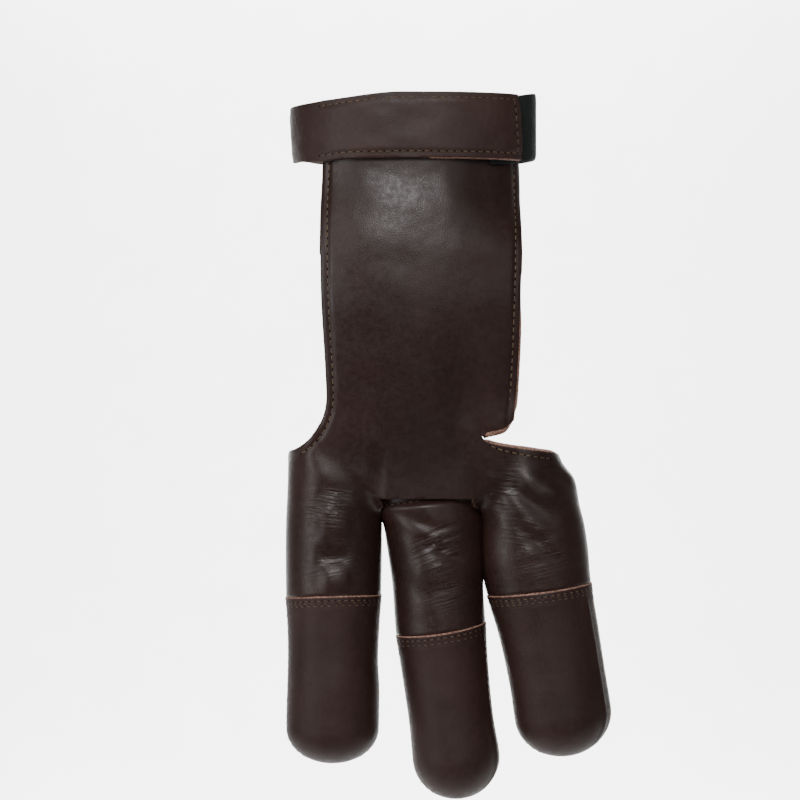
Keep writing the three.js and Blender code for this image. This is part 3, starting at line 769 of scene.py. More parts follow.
def facing(path, away):
    """Turns a path's directions to the side that away points to."""
    backwards = np.sum(away * path[:, 3:], 1) < 0
    path[:, 3:] *= np.where(backwards, -1.0, 1.0)[:, None]
    return path


# Finishes: patterns and their depths are in millimetres, colours in sRGB

CLOUD = 26.0
FLESH_CLOUD = 14.0
MOTTLE = 1.4
PORE = 0.45
CREASE_DEPTH = 0.17
ELASTIC_PITCH = 0.9
ELASTIC_FUZZ = 0.4
ELASTIC_DEPTH = 0.12
PAPER_TOOTH = 1000 / 30

# A wave texture of this scale has one band in each unit, and a crease is drawn
# out to this many times its pitch
ONE_WAVE = 0.314
CREASE_STRETCH = 6


def linear(hex_colour):
    """An sRGB hex colour as linear red, green, blue, alpha."""
    out = []
    for k in (1, 3, 5):
        value = int(hex_colour[k:k + 2], 16) / 255
        out.append(value / 12.92 if value <= 0.04045 else ((value + 0.055) / 1.055) ** 2.4)
    return (*out, 1.0)


def give(tree, node, inputs):
    """Sets inputs to values, or links them to a socket or a node's first output."""
    for name, value in inputs.items():
        if isinstance(value, bpy.types.Node):
            value = value.outputs[0]
        if isinstance(value, bpy.types.NodeSocket):
            tree.links.new(value, node.inputs[name])
        else:
            node.inputs[name].default_value = value


def add(tree, kind, inputs=None, stops=(), **settings):
    """Adds a node with its settings, its inputs and, on a colour ramp, its stops."""
    node = tree.nodes.new("ShaderNode" + kind)
    for name, value in settings.items():
        setattr(node, name, value)
    give(tree, node, inputs or {})
    for _ in stops[2:]:
        node.color_ramp.elements.new(0.5)
    for number, (at, colour) in enumerate(stops):
        element = node.color_ramp.elements[number]
        element.position = at
        element.color = colour if isinstance(colour, tuple) else (colour, colour, colour, 1.0)
    return node


def new_finish(name):
    """A material, its tree, its shader and the place on the piece, in metres."""
    material = bpy.data.materials.new(name)
    material.use_nodes = True
    tree = material.node_tree
    tree.nodes.clear()
    shader = add(tree, "BsdfPrincipled")
    add(tree, "OutputMaterial", {"Surface": shader})
    return material, tree, shader, add(tree, "TexCoord").outputs["Object"]


def fine_creases(tree, place):
    """Height of the fine creases of bent leather: broken waves in soft patches."""
    total = 0.0
    for x, z, along, across, pitch, lean, depth in FINE_CREASES:
        here = {"Vector": place, "Location": (x * MM, 0, z * MM), "Rotation": (0, -math.radians(lean), 0)}
        patch = (along * MM, 10.0, across * MM)
        wave = (CREASE_STRETCH * pitch * MM, CREASE_STRETCH * pitch * MM, pitch * MM)
        window = add(tree, "Mapping", {**here, "Scale": patch}, vector_type="TEXTURE")
        lines = add(tree, "Mapping", {**here, "Scale": wave}, vector_type="TEXTURE")
        mask = add(tree, "TexGradient", {"Vector": window}, gradient_type="SPHERICAL")
        folds = add(
            tree, "TexWave",
            {"Vector": lines, "Scale": ONE_WAVE, "Distortion": 7.5, "Detail": 3.0, "Detail Scale": 1.7,
             "Detail Roughness": 0.6},
            bands_direction="Z",
        )
        broken = add(tree, "TexNoise", {"Vector": lines, "Scale": 0.85, "Detail": 2.0, "Roughness": 0.5})
        length = add(
            tree, "MapRange",
            {"Value": broken, "From Min": 0.4, "From Max": 0.6, "To Min": 0.15, "To Max": 1.0},
        )
        crest = add(tree, "ValToRGB", {"Fac": folds.outputs["Fac"]}, ((0.0, 0.0), (0.4, 0.75), (1.0, 1.0)))
        ridge = add(tree, "Math", {0: crest, 1: length}, operation="MULTIPLY")
        fade = add(
            tree, "MapRange",
            {"Value": mask.outputs["Fac"], "From Min": 0.0, "From Max": 0.6, "To Min": 0.0, "To Max": depth},
        )
        total = add(tree, "Math", {0: ridge, 1: fade, 2: total}, operation="MULTIPLY_ADD")
    return total


def full_grain(name, dark, light, grain, rough, depth, gloss, creased=False):
    """Full-grain aniline cowhide: dyed through and waxed, so the colour is deep
    and a little uneven, pores and small pebbles show where light glances off,
    and the gloss is soft. The grain is drawn a little coarse, to show."""
    material, tree, shader, place = new_finish(name)
    clouds = add(tree, "TexNoise", {"Vector": place, "Scale": 1 / (CLOUD * MM), "Detail": 3.0})
    mottle = add(tree, "TexNoise", {"Vector": place, "Scale": 1 / (MOTTLE * MM), "Detail": 3.0})
    blend = add(tree, "Mix", {"Factor": 0.3, "A": clouds, "B": mottle}, data_type="FLOAT")
    colour = add(tree, "ValToRGB", {"Fac": blend}, ((0.38, linear(dark)), (0.62, linear(light))))
    pebbles = add(
        tree, "TexVoronoi", {"Vector": place, "Scale": 1 / (grain * MM), "Randomness": 1.0},
        feature="DISTANCE_TO_EDGE",
    )
    pebble = add(tree, "ValToRGB", {"Fac": pebbles}, ((0.0, 0.0), (0.3, 1.0)))
    pores = add(tree, "TexNoise", {"Vector": place, "Scale": 1 / (PORE * MM), "Detail": 2.0})
    surface = add(tree, "Mix", {"Factor": 0.5, "A": pebble, "B": pores}, data_type="FLOAT")
    relief = {"Strength": 0.6, "Distance": depth * MM, "Height": surface}
    if creased:
        creases = {"Strength": 0.9, "Distance": CREASE_DEPTH * MM, "Height": fine_creases(tree, place)}
        relief["Normal"] = add(tree, "Bump", creases)
    roughness = add(
        tree, "MapRange",
        {"Value": mottle, "From Min": 0.3, "From Max": 0.7, "To Min": rough - 0.07, "To Max": rough + 0.07},
    )
    give(tree, shader, {
        "Base Color": colour, "Roughness": roughness, "IOR": 1.45, "Normal": add(tree, "Bump", relief),
        "Specular IOR Level": gloss,
    })
    return material


def fibrous(name, dark, light, fibre, detail, contrast, coat, depth=0.0, strength=0.5, clouded=False):
    """A finish whose colour and relief come from one fine noise."""
    material, tree, shader, place = new_finish(name)
    fibres = add(tree, "TexNoise", {"Vector": place, "Scale": 1 / (fibre * MM), "Detail": detail})
    shade = fibres
    if clouded:
        clouds = add(tree, "TexNoise", {"Vector": place, "Scale": 1 / (FLESH_CLOUD * MM), "Detail": 3.0})
        shade = add(tree, "Mix", {"Factor": 0.5, "A": fibres, "B": clouds}, data_type="FLOAT")
    stops = ((0.5 - contrast, linear(dark)), (0.5 + contrast, linear(light)))
    give(tree, shader, {"Base Color": add(tree, "ValToRGB", {"Fac": shade}, stops), **coat})
    if depth > 0:
        relief = {"Strength": strength, "Distance": depth * MM, "Height": fibres}
        give(tree, shader, {"Normal": add(tree, "Bump", relief)})
    return material


def woven_elastic(name):
    """Woven elastic tape of black polyester over rubber: fine ribs run along
    the band, crossed by a tighter weave, with a faint cool sheen."""
    material, tree, shader, place = new_finish(name)
    parts = add(tree, "SeparateXYZ", {"Vector": place}).outputs
    turn = add(tree, "Math", {0: parts["Y"], 1: parts["X"]}, operation="ARCTAN2")
    round_rate = WRIST_WIDTH / 2 / ELASTIC_PITCH * 2 * math.pi
    up_rate = 2 * math.pi / (ELASTIC_PITCH * MM)
    waves = []
    for way, rate in ((turn, round_rate), (parts["Z"], up_rate)):
        phase = add(tree, "Math", {0: way, 1: rate}, operation="MULTIPLY")
        waves.append(add(tree, "Math", {0: phase}, operation="SINE"))
    weave = add(tree, "Math", {0: waves[0], 1: waves[1]}, operation="MULTIPLY")
    fuzz = add(tree, "TexNoise", {"Vector": place, "Scale": 1 / (ELASTIC_FUZZ * MM), "Detail": 3.0})
    mixed = add(tree, "Mix", {"Factor": 0.35, "A": weave, "B": fuzz}, data_type="FLOAT")
    stops = ((0.0, linear("#171b1a")), (0.8, linear("#2a2e2d")))
    give(tree, shader, {
        "Base Color": add(tree, "ValToRGB", {"Fac": mixed}, stops),
        "Normal": add(tree, "Bump", {"Strength": 0.6, "Distance": ELASTIC_DEPTH * MM, "Height": mixed}),
        "Roughness": 0.8, "Specular IOR Level": 0.12,
    })
    return material


# One hide in three states of wear: the panel is the most polished. The strap's copy is painted lighter, as
# painted light on the lit top of the wrist, not a paler leather.
PANEL_GRAIN = full_grain("full_grain_cowhide_panel", "#221512", "#2c1c19", 0.62, 0.38, 0.045, 0.32, True)
CAP_GRAIN = full_grain("full_grain_cowhide_caps", "#251613", "#2e1d1a", 0.6, 0.52, 0.05, 0.26)
STRAP_GRAIN_PAINTED_LIGHTER = full_grain("full_grain_cowhide_strap_painted_lighter", "#2b1c19", "#342420", 0.6, 0.5, 0.05, 0.28)

# Flesh side of the hide: unfinished, matt, short fibres, paler than the grain
FLESH_SIDE = fibrous(
    "flesh_side_of_hide", "#3a2820", "#573e33", fibre=0.9, detail=6.0, contrast=0.14,
    coat={"Roughness": 0.92, "Specular IOR Level": 0.25, "Sheen Weight": 0.15, "Sheen Roughness": 0.6},
    depth=0.15, strength=0.6, clouded=True,
)

# Raw cut edge of vegetable-dyed leather: the dye hasn't reached the core, so a
# pale fibrous line shows. Other edges are dyed dark.
CUT = dict(
    fibre=0.6, detail=4.0, contrast=0.12, depth=0.1, coat={"Roughness": 0.85, "Specular IOR Level": 0.3},
)
RAW_EDGE = fibrous("raw_cut_leather_edge", "#5f443a", "#967263", **CUT)
DARK_EDGE = fibrous("dyed_cut_leather_edge", "#24150f", "#40291f", **CUT)

# Bonded sewing thread, twisted: thin uneven plies and a dull shine
TWIST = dict(fibre=0.7, detail=2.0, contrast=0.15, depth=0.08, coat={"Roughness": 0.6})
TAN_THREAD = fibrous("bonded_tan_thread", "#38291a", "#5b4a31", **TWIST)
BROWN_THREAD = fibrous("bonded_brown_thread", "#2f2117", "#54402a", **TWIST)

# Shadowed mouth of a needle hole: nearly black, with no gloss
PIT = fibrous(
    "needle_hole_shadow", "#070403", "#100a08", fibre=0.5, detail=2.0, contrast=0.1,
    coat={"Roughness": 0.95, "Specular IOR Level": 0.1},
)
ELASTIC = woven_elastic("woven_black_elastic")
UNDER_GRAIN = (FLESH_SIDE, DARK_EDGE, RAW_EDGE)
PANEL_FINISHES = (PANEL_GRAIN, *UNDER_GRAIN)
CAP_FINISHES = (CAP_GRAIN, *UNDER_GRAIN)
STRAP_FINISHES = (STRAP_GRAIN_PAINTED_LIGHTER, *UNDER_GRAIN)


# Palm panel with the fronts of the index and ring stalls

def steps(start, end, cell=CELL):
    count = max(2, int(math.ceil(abs(end - start) / cell)))
    return np.linspace(start, end, count + 1)


def notch_foot_z():
    share = (seam_x(INDEX, -1, ROOT_Z) - notch_centre_x()) / NOTCH_WIDTH
    return NOTCH_TOP_Z - NOTCH_HEIGHT * math.sqrt(1 - share * share)


def left_edge_x(z):
    share = np.clip((NOTCH_TOP_Z - z) / NOTCH_HEIGHT, 0, 1)
    notch = notch_centre_x() + NOTCH_WIDTH * np.sqrt(1 - share * share)
    lower = np.maximum(seam_x(INDEX, -1, z), notch)
    return np.where(z >= NOTCH_TOP_Z, panel_edge_x(-1, z), lower)


def spread(share, z):
    """Columns are even on the panel and follow the round of the stall below."""
    round_share = (1 - np.cos(np.pi * share)) / 2
    return mix(share, round_share, smooth(ROOT_Z + ROUNDING_RUN, ROOT_Z, z))


def slot_rim(place, out):
    x = place[:, 0]
    z = place[:, 2]
    return (x > SLOT_RIM_X) & (z > SLOT_Z - SLOT_DROP - 1.0) & (z < SIDE_BEVEL_TOP_Z)


def palm_leather():
    heights = (PANEL_TOP_Z, NOTCH_TOP_Z, SLOT_Z, notch_foot_z(), CROTCH_Z)
    rows = np.concatenate([steps(a, b)[(k > 0):] for k, (a, b) in enumerate(zip(heights, heights[1:]))])
    slot_row = int(np.argmin(np.abs(rows - SLOT_Z)))
    index_split = float(seam_x(INDEX, 1, CROTCH_Z)) - WEB_INSET
    ring_split = float(seam_x(RING, -1, CROTCH_Z)) - WEB_INSET
    share = np.linspace(0, 1, SIDE_CELLS + 1)[None, :]

    z = rows[:, None] + 0 * share
    index_side = front_point(mix(left_edge_x(z), index_split, spread(share, z)), z, OUTER_STALLS)

    middle_share = np.linspace(0, 1, int((ring_split - index_split) / CELL) + 1)[None, :]
    z = rows[:, None] + 0 * middle_share
    middle = front_point(mix(index_split, ring_split, middle_share) + 0 * z, z, OUTER_STALLS)

    # The slot opens between the last row above it and the first row below
    start = SLOT_CELLS / SIDE_CELLS
    past = np.clip((share - start) / (1 - start), 0, 1)
    tip = smooth(0, SLOT_TIP, past[0])
    slot_right = float(seam_x(RING, 1, SLOT_Z - SLOT_DROP))
    slot_end = mix(ring_split, slot_right, float(spread(start, SLOT_Z)))

    upper = rows[: slot_row + 1, None]
    near = smooth(SLOT_Z + SLOT_BEND_RUN, SLOT_Z, upper)
    z = upper + (SLOT_RISE * past ** 0.4 + SLOT_CORNER * past ** 6) * near
    right = panel_edge_x(1, z)
    end = (slot_end - ring_split) / (float(panel_edge_x(1, SLOT_Z)) - ring_split)
    held = np.where(share > start, mix(end, 1.0, past), end * share / start)
    x = mix(ring_split, right, mix(share, held, near))
    above = front_point(x, z, OUTER_STALLS, SLOT_LIFT * past * near)
    above[1][-1, :, 2] -= SLOT_BEVEL * tip * mix(1, CORNER_BEVEL, smooth(SLOT_FADE, 1, past[0]))
    shown = smooth(SIDE_BEVEL_TOP_Z, SIDE_BEVEL_TOP_Z - SIDE_BEVEL_RUN, upper[:, 0])
    corner = mix(CORNER_BEVEL, 1, smooth(SLOT_Z, SLOT_Z + CORNER_RUN, upper[:, 0]))
    above[1][:, -1, 0] += SIDE_BEVEL * shown * corner

    lower = rows[slot_row:, None]
    order = np.arange(len(lower))[:, None] / (len(lower) - 1)
    near = 1 - smooth(0, 1, order)
    z = lower - SLOT_DROP * past ** 0.5 * near
    right = seam_x(RING, 1, np.minimum(z, SLOT_Z - SLOT_DROP))
    kept = mix(ring_split, slot_end, share / start)
    x = mix(ring_split, right, spread(share, lower))
    x = np.where((order == 0) & (share <= start + 1e-9), kept, x)
    below = front_point(x, z, OUTER_STALLS)
    below[1][0, :, 2] += SLOT_LOWER_BEVEL * tip * smooth(1, SLOT_FADE, past[0])

    legs = [leg_grid(stall, share, index_split, ring_split) for stall in OUTER_STALLS]
    grids = [index_side, middle, above, below, *legs]
    closed_sheet("palm_panel_leather", "palm_leather", grids, PANEL_FINISHES, slot_rim)


def leg_grid(stall, share, index_split, ring_split):
    foot = cap_top(stall) - CAP_LAP
    base = steps(CROTCH_Z, foot)[:, None]
    f = spread(share, ROOT_Z)
    tilt = smooth(CROTCH_Z, CROTCH_Z - LEAN_RUN, base) * stall["lean"] * leg_section(stall, base)[2]
    z = base + tilt * (2 * f - 1)
    left = seam_x(stall, -1, base - tilt)
    right = seam_x(stall, 1, base + tilt)
    below = smooth(CROTCH_Z, CROTCH_Z - WEB_RUN, base)
    if stall is RING:
        left = mix(ring_split, left, below)
    else:
        right = mix(index_split, right, below)
    x = mix(left, right, f)
    lower = front_point(x, z, (stall,))
    first = front_point(x[:1], z[:1], OUTER_STALLS)
    for made, exact in zip(lower, first):
        made[:1] = exact
    return lower


# Stalls and caps

def half_point(stall, section, level, turn, side, inset, relief=0.0):
    x0, y0, a, b = section
    a = a - inset + relief
    b = b - inset - GAP / 2 + relief * np.sin(turn)
    x = x0 + side * a * np.cos(turn)
    y = y0 + side * (GAP / 2 + b * np.sin(turn))
    return np.stack(np.broadcast_arrays(x, y, level + stall["lean"] * (x - x0)), -1)


def half_turns(cells):
    return np.linspace(0, math.pi, cells + 1)[None, :]


def back_top_level(stall, turn):
    to_left = (1 - np.cos(turn)) / 2
    if stall is INDEX:
        return mix(WEB_Z, notch_foot_z() - BACK_BELOW, to_left)
    if stall is RING:
        slot_foot = SLOT_Z - SLOT_DROP - RING["lean"] * RING["half_width"]
        return mix(slot_foot - BACK_BELOW, WEB_Z, to_left)
    return WEB_Z + MIDDLE_BACK_ARCH * np.sin(turn)


def back_relief(stall, turn, level):
    u = STALL_ROUND * turn
    phase = STALLS.index(stall) * 1.7
    knuckle = bump(level - (CROTCH_Z - 9), 9.0)
    folds = np.abs(np.sin(math.pi * level / 2.4 + 1.4 * wander(u, level, 12.0, 3.0 + phase))) ** 0.7 - 0.6
    return np.sin(turn) * (0.9 * soft_relief(u, level, phase) + 0.16 * knuckle * folds * np.sin(turn))


def stall_back(stall):
    turn = half_turns(BACK_CELLS)
    top = back_top_level(stall, turn)
    level = mix(top, cap_top(stall) - CAP_LAP, np.linspace(0, 1, BACK_ROWS)[:, None])
    section = leg_section(stall, level, np.cos(turn))
    relief = back_relief(stall, turn, level) - 0.25 * bump(level - top, 1.0) * np.sin(turn)
    outer = half_point(stall, section, level, turn, 1, 0.0, relief)
    inner = half_point(stall, section, level, turn, 1, PALM_WALL, 0.5 * relief)
    name = stall["name"]
    closed_sheet(f"{name}_stall_back", f"{name}_back", [(outer, inner)], PANEL_FINISHES)


def middle_front_surface(level, across, inset=0.0):
    """Point of the middle stall's front; across runs from 0 to 1, left to right."""
    open_turn = MIDDLE_LAP_TURN * smooth(CROTCH_Z - 1, MIDDLE["root"], level)
    turn = mix(open_turn, math.pi - open_turn, across)
    section = leg_section(MIDDLE, level, -np.cos(turn))
    point = half_point(MIDDLE, section, level, turn, -1, inset)
    x = point[..., 0]
    z = point[..., 2]
    free = np.sin(turn) * smooth(CROTCH_Z, CROTCH_Z - 4, level)
    relief = (soft_relief(x, z, 0.8) + crease_relief(x, z)) * free
    if inset > 0:
        relief = relief * 0.5
    point[..., 1] += dent_y(MIDDLE_DENTS, x, z) * np.sin(turn) - relief * np.sin(turn)
    drop = CROTCH_Z - z
    to_right = np.minimum(np.cos(turn), 0) ** 2 * smooth(-3, 0, drop) * smooth(28, 14, drop)
    to_left = np.maximum(np.cos(turn), 0) ** 2 * smooth(-3, 0, drop) * smooth(9, 2, drop)
    point[..., 0] += WEB_SWELL_RIGHT * to_right - WEB_SWELL_LEFT * to_left - relief * np.cos(turn)
    return point


def middle_front():
    level = steps(MIDDLE["root"], cap_top(MIDDLE) - CAP_LAP, FINE_CELL)[:, None]
    across = np.linspace(0, 1, FRONT_CELLS + 1)[None, :]
    grid = (middle_front_surface(level, across), middle_front_surface(level, across, PALM_WALL))
    closed_sheet("middle_stall_front", "middle_front", [grid], PANEL_FINISHES)


def cap_levels(stall):
    dome_top = stall["root"] - stall["length"] * (1 - stall["dome"])
    return cap_top(stall), dome_top, stall["length"] * stall["dome"]


def cap_relief(stall, side, turn, run):
    """run is the distance down from the cap's upper edge."""
    phase = STALLS.index(stall) * 2.3 + side
    u = STALL_ROUND * turn
    rows = bump(run - CAP_ROW_1, 0.45) + bump(run - CAP_ROW_2, 0.45)
    seam = np.minimum(turn, math.pi - turn) * STALL_ROUND
    sewn = bump(seam - CAP_SEAM, 0.6) * smooth(2, 5, run)
    swell = 0.3 * bump(run - CAP_ROW_1, 2.6)
    relief = 1.1 * soft_relief(u, run, phase) * np.sin(turn) - 0.2 * rows - 0.1 * sewn + swell
    if side < 0 and stall["flange"] > 0:
        lapped = (math.pi - turn) * STALL_ROUND - stall["flange"]
        step = 0.4 * bump(lapped, 0.9) - 0.2 * smooth(0, -1.2, lapped)
        fold = step - 0.12 * bump(lapped + stall["flange"] / 2, 0.6)
        relief = relief + fold * smooth(2.5, 7, run)
    return relief


def cap_surface(stall, side, turn, run, inset=0.0):
    """Point of a cap half: straight sleeve, then a dome; run is from the top."""
    top, dome_top, dome_length = cap_levels(stall)
    sleeve = top - dome_top
    bend = np.clip((run - sleeve) / dome_length, 0, 1) * math.pi / 2
    sag = dome_length * np.sin(bend)
    drop = edge_drop(stall, side * np.cos(turn)) * (1 - run / sleeve)
    level = np.where(run < sleeve, top - run - drop, dome_top)
    x, y, a, b = stall_section(stall, level)
    lag = stall_section(stall, dome_top - sag)[1] - stall_section(stall, dome_top)[1]
    shrink = np.cos(bend)
    relief = cap_relief(stall, side, turn, run) * shrink
    if inset > 0:
        relief = relief * 0.4
        inset = inset * mix(CAP_SKIVE, 1.0, smooth(0, 2.2, run))
        bevel = 0.0
    else:
        bevel = CAP_BEVEL * bump(run, 0.3) * np.sqrt(np.abs(np.sin(turn)))
    section = (
        x + stall["lean"] * sag,
        y + lag,
        (a - inset) * shrink,
        (b - inset - GAP / 2) * shrink + GAP / 2,
    )
    height = level - (dome_length - inset) * np.sin(bend) - bevel
    return half_point(stall, section, height, turn, side, 0.0, relief)


def upper_rim(place, out):
    return out[:, 2] > 0.45


def cap_half(stall, side):
    top, dome_top, dome_length = cap_levels(stall)
    turn = half_turns(CAP_CELLS)
    dome = top - dome_top + np.linspace(0, 1, DOME_ROWS + 1)[1:] * dome_length
    run = np.concatenate([steps(0, top - dome_top, FINE_CELL), dome])[:, None]
    grid = (cap_surface(stall, side, turn, run), cap_surface(stall, side, turn, run, CAP_WALL))
    name = stall["name"]
    half = "cap_front" if side < 0 else "cap_back"
    closed_sheet(f"{name}_tip_{half}", f"{name}_{half}", [grid], CAP_FINISHES, upper_rim)


def cap_sewing(stall):
    rows = []
    top, dome_top, dome_length = cap_levels(stall)
    turn = np.linspace(CAP_ROW_START, math.pi - CAP_ROW_START, 200) * STALL_ROUND
    run = np.linspace(CAP_SEAM_TOP, top - dome_top + dome_length * CAP_SEAM_FOOT, 160)
    for side in (-1, 1):
        def surface(across, down, side=side):
            return cap_surface(stall, side, across / STALL_ROUND, down)

        for row in (CAP_ROW_1, CAP_ROW_2):
            path = outward(path_on(surface, turn, row), stall)
            rows.append(sewn_row(path, CAP_STITCH_PITCH, FINE_THREAD, pit=1.5))
        inward = stall["flange"] / 2 if side < 0 and stall["flange"] > 0 else CAP_SEAM
        for seam in (CAP_SEAM, math.pi * STALL_ROUND - inward):
            path = outward(path_on(surface, seam, run), stall)
            rows.append(sewn_row(path, STITCH_PITCH, FINE_THREAD))
        if stall is not MIDDLE:
            rows.append(cap_zigzag(surface, stall))
    sewing(f"{stall['name']}_cap_stitching", rows, BROWN_THREAD)


def cap_zigzag(surface, stall):
    """Slanting threads between the two rows round the cap's upper edge."""
    count = int(math.pi * STALL_ROUND / CAP_STITCH_PITCH)
    turn = np.linspace(ZIGZAG_START, math.pi - ZIGZAG_START, count) * STALL_ROUND
    low = outward(path_on(surface, turn[:-1], CAP_ROW_1), stall)
    high = outward(path_on(surface, turn[1:], CAP_ROW_2), stall)
    middles = (low[:, :3] + high[:, :3]) / 2 + low[:, 3:] * 0.02
    slant = bead(half_length=0.85, half_width=0.19, half_height=0.17, arch=0.08)
    return (beads_along(middles, high[:, :3] - low[:, :3], low[:, 3:], slant),)


def outward(path, stall):
    """Turns a path's directions away from the stall's axis."""
    x, y, _, _ = stall_section(stall, path[:, 2])
    return facing(path, path[:, :3] - np.stack([x, y, path[:, 2]], -1))


def panel_sewing():
    def surface(x, z):
        return front_point(x, z, OUTER_STALLS)[0]

    def row(x, z):
        return sewn_row(facing(path_on(surface, x, z), FORWARD))

    z = np.linspace(STRAP_FOOT_Z + PANEL_ROW_TUCK, NOTCH_TOP_Z, 300)
    turn = np.linspace(0, NOTCH_ROW_TURN, 120)
    notch_x = notch_centre_x() + (NOTCH_WIDTH + SEAM_INSET) * np.cos(turn)
    notch_z = NOTCH_TOP_Z - (NOTCH_HEIGHT + SEAM_INSET) * np.sin(turn)
    left = row(np.concatenate([panel_edge_x(-1, z) + SEAM_INSET, notch_x]), np.concatenate([z, notch_z]))
    z = np.linspace(STRAP_FOOT_Z + PANEL_ROW_TUCK, SLOT_Z + SIDE_ROW_FOOT, 300)
    right = row(panel_edge_x(1, z) - RIGHT_SEAM_INSET, z)
    x = np.linspace(SLOT_ROW_X, float(seam_x(RING, 1, SLOT_Z - SLOT_DROP - 1)) - 3, 120)
    reach = (x - SLOT_TIP_X) / (float(seam_x(RING, 1, SLOT_Z - SLOT_DROP)) - SLOT_TIP_X)
    below_slot = row(x, SLOT_Z - SLOT_ROW_DROP - SLOT_DROP * np.clip(reach, 0, 1) ** 0.5)
    sewing("panel_stitching", [left, right, below_slot], TAN_THREAD)


def crotch_sewing():
    """The seam that joins the middle stall to the panel's lower edge."""
    def surface(run, drop):
        return middle_front_surface(CROTCH_Z - drop, run / MIDDLE_WIDTH)

    run = np.linspace(0.03, 0.46, 160) * MIDDLE_WIDTH
    drop = mix(1.2, 0.5, smooth(0.05, 0.5, run / MIDDLE_WIDTH))
    path = facing(path_on(surface, run, drop), FORWARD)
    sewing("crotch_stitching", [sewn_row(path, CAP_STITCH_PITCH, FINE_THREAD)], TAN_THREAD)


# Strap and elastic

def strap_surface(angle, across, inset=0.0):
    """across runs from 0 at the upper edge to 1 at the lower."""
    half = mix(STRAP_SIDE_HEIGHT, STRAP_HEIGHT, smooth(-STRAP_TAPER, 0.1, -np.sin(angle))) / 2
    at_x = loop_point(angle, 0)[0]
    single = smooth(STRAP_CORNER_X + 1.5, STRAP_CORNER_X - 3.0, at_x)
    corner = np.clip((STRAP_CORNER_X - at_x) / (WRIST_WIDTH / 2 + STRAP_CORNER_X), 0, 1)
    side_drop = STRAP_SIDE_DROP * smooth(STRAP_DROP_START_X, STRAP_DROP_FULL_X, at_x)
    top = STRAP_CENTRE_Z + half - side_drop - STRAP_CORNER_DROP * corner
    foot = STRAP_CENTRE_Z - half - STRAP_SIDE_SAG * smooth(-20, -27, at_x) * smooth(-37, -28, at_x)
    if inset > 0:
        foot = foot - STRAP_SKIVE * smooth(0, 6, at_x)
    z = mix(top, foot, across)
    edge = np.minimum(across, 1 - across) * (top - foot)
    sewn = (0.24 * bump(edge - 1.5, 0.55) + 0.1 * bump(edge, 0.6)) * (1 - single)
    u = angle * WRIST_ROUND
    uneven = 0.2 * wander(u, z, 24.0, 0.9) + 0.05 * wander(u, z, 7.0, 2.0)
    relief = 0.25 * smooth(0, 3, edge) - 0.2 - sewn - 0.15 * single + uneven if inset == 0 else 0.0
    x, y = loop_point(angle, inset - relief)
    x = x - STRAP_CORNER_REACH * (1 - across) * smooth(-28, -WRIST_WIDTH / 2, at_x)
    return np.stack(np.broadcast_arrays(x, y, z), -1)


def strap_rim(place, out):
    front = place[:, 1] < 0
    lower = (out[:, 2] < -0.5) & (place[:, 0] > 4)
    return front & (lower | (place[:, 0] > STRAP_END_X - 1.2))


def strap_end(angle, across):
    """The strap's right end leans: its angle at a share of the strap's height."""
    return angle + STRAP_END_LEAN * (across - 0.4)


def wrist_strap():
    across = np.linspace(0, 1, STRAP_ROWS + 1)[:, None]
    end = strap_end(loop_angle(STRAP_END_X, True), across)
    angle = mix(loop_angle(STRAP_BACK_X, False), end, np.linspace(0, 1, STRAP_COLUMNS)[None, :])
    grid = (strap_surface(angle, across), strap_surface(angle, across, STRAP_WALL))
    closed_sheet("wrist_strap_leather", "wrist_strap", [grid], STRAP_FINISHES, strap_rim)


def strap_sewing():
    start = loop_angle(STRAP_CORNER_X - 1.0, True)
    end = loop_angle(STRAP_END_X - STRAP_END_INSET, True)
    back = loop_angle(STRAP_BACK_X - 2, False) * WRIST_ROUND

    def surface(run, drop):
        return strap_surface(run / WRIST_ROUND, drop / STRAP_SEWN_HEIGHT)

    def row(run, drop):
        path = path_on(surface, run, drop)
        return sewn_row(facing(path, path[:, :3] * LEVEL))

    run = np.linspace(start, end, 300) * WRIST_ROUND
    drop = np.linspace(STRAP_ROW_1, STRAP_ROW_2, 80)
    end_run = strap_end(end, drop / STRAP_SEWN_HEIGHT) * WRIST_ROUND - STRAP_END_INSET
    rows = [row(run, STRAP_ROW_1), row(run, STRAP_ROW_2), row(end_run, drop), row(back, drop)]
    sewing("strap_stitching", rows, BROWN_THREAD)


def elastic_band():
    start = loop_angle(STRAP_END_X - ELASTIC_LAP, True) - 2 * math.pi
    end = loop_angle(STRAP_BACK_X - ELASTIC_LAP, False)
    leave = loop_angle(STRAP_END_X, True) - 2 * math.pi
    meet = loop_angle(STRAP_BACK_X, False)
    angle = np.linspace(start, end, ELASTIC_COLUMNS)[None, :]
    across = np.linspace(0, 1, ELASTIC_ROWS)[:, None]
    left = smooth(leave, leave + ELASTIC_EASE_TURN, angle)
    met = smooth(meet - ELASTIC_EASE_TURN, meet, angle)
    inset = (STRAP_WALL + GAP) * (1 - ELASTIC_SPRING * left * (1 - met))
    rise = ELASTIC_RISE * smooth(start, 0, angle) * (1 - ELASTIC_BACK_DROP * smooth(0, end, angle))
    half = mix(ELASTIC_HEIGHT, ELASTIC_BACK_HEIGHT, met) / 2
    z = ELASTIC_END_CENTRE_Z + rise + half * (1 - 2 * across)
    ribs = 0.07 * (np.abs(np.sin(math.pi * across * ELASTIC_HEIGHT / RIB_PITCH)) - 0.6)
    relief = ribs - 0.25 * bump(np.minimum(across, 1 - across) * ELASTIC_HEIGHT, 0.7)
    sides = []
    for depth in (inset - relief, inset + ELASTIC_WALL + 0 * relief):
        x, y = loop_point(angle, depth)
        sides.append(np.stack(np.broadcast_arrays(x, y, z), -1))
    finishes = (ELASTIC, ELASTIC, ELASTIC)
    closed_sheet("wrist_elastic", "elastic_band", [sides], finishes, bulge=ELASTIC_BULGE)


palm_leather()
middle_front()
for stall in STALLS:
    stall_back(stall)
    cap_half(stall, -1)
    cap_half(stall, 1)
    cap_sewing(stall)
panel_sewing()
crotch_sewing()
wrist_strap()
strap_sewing()
elastic_band()


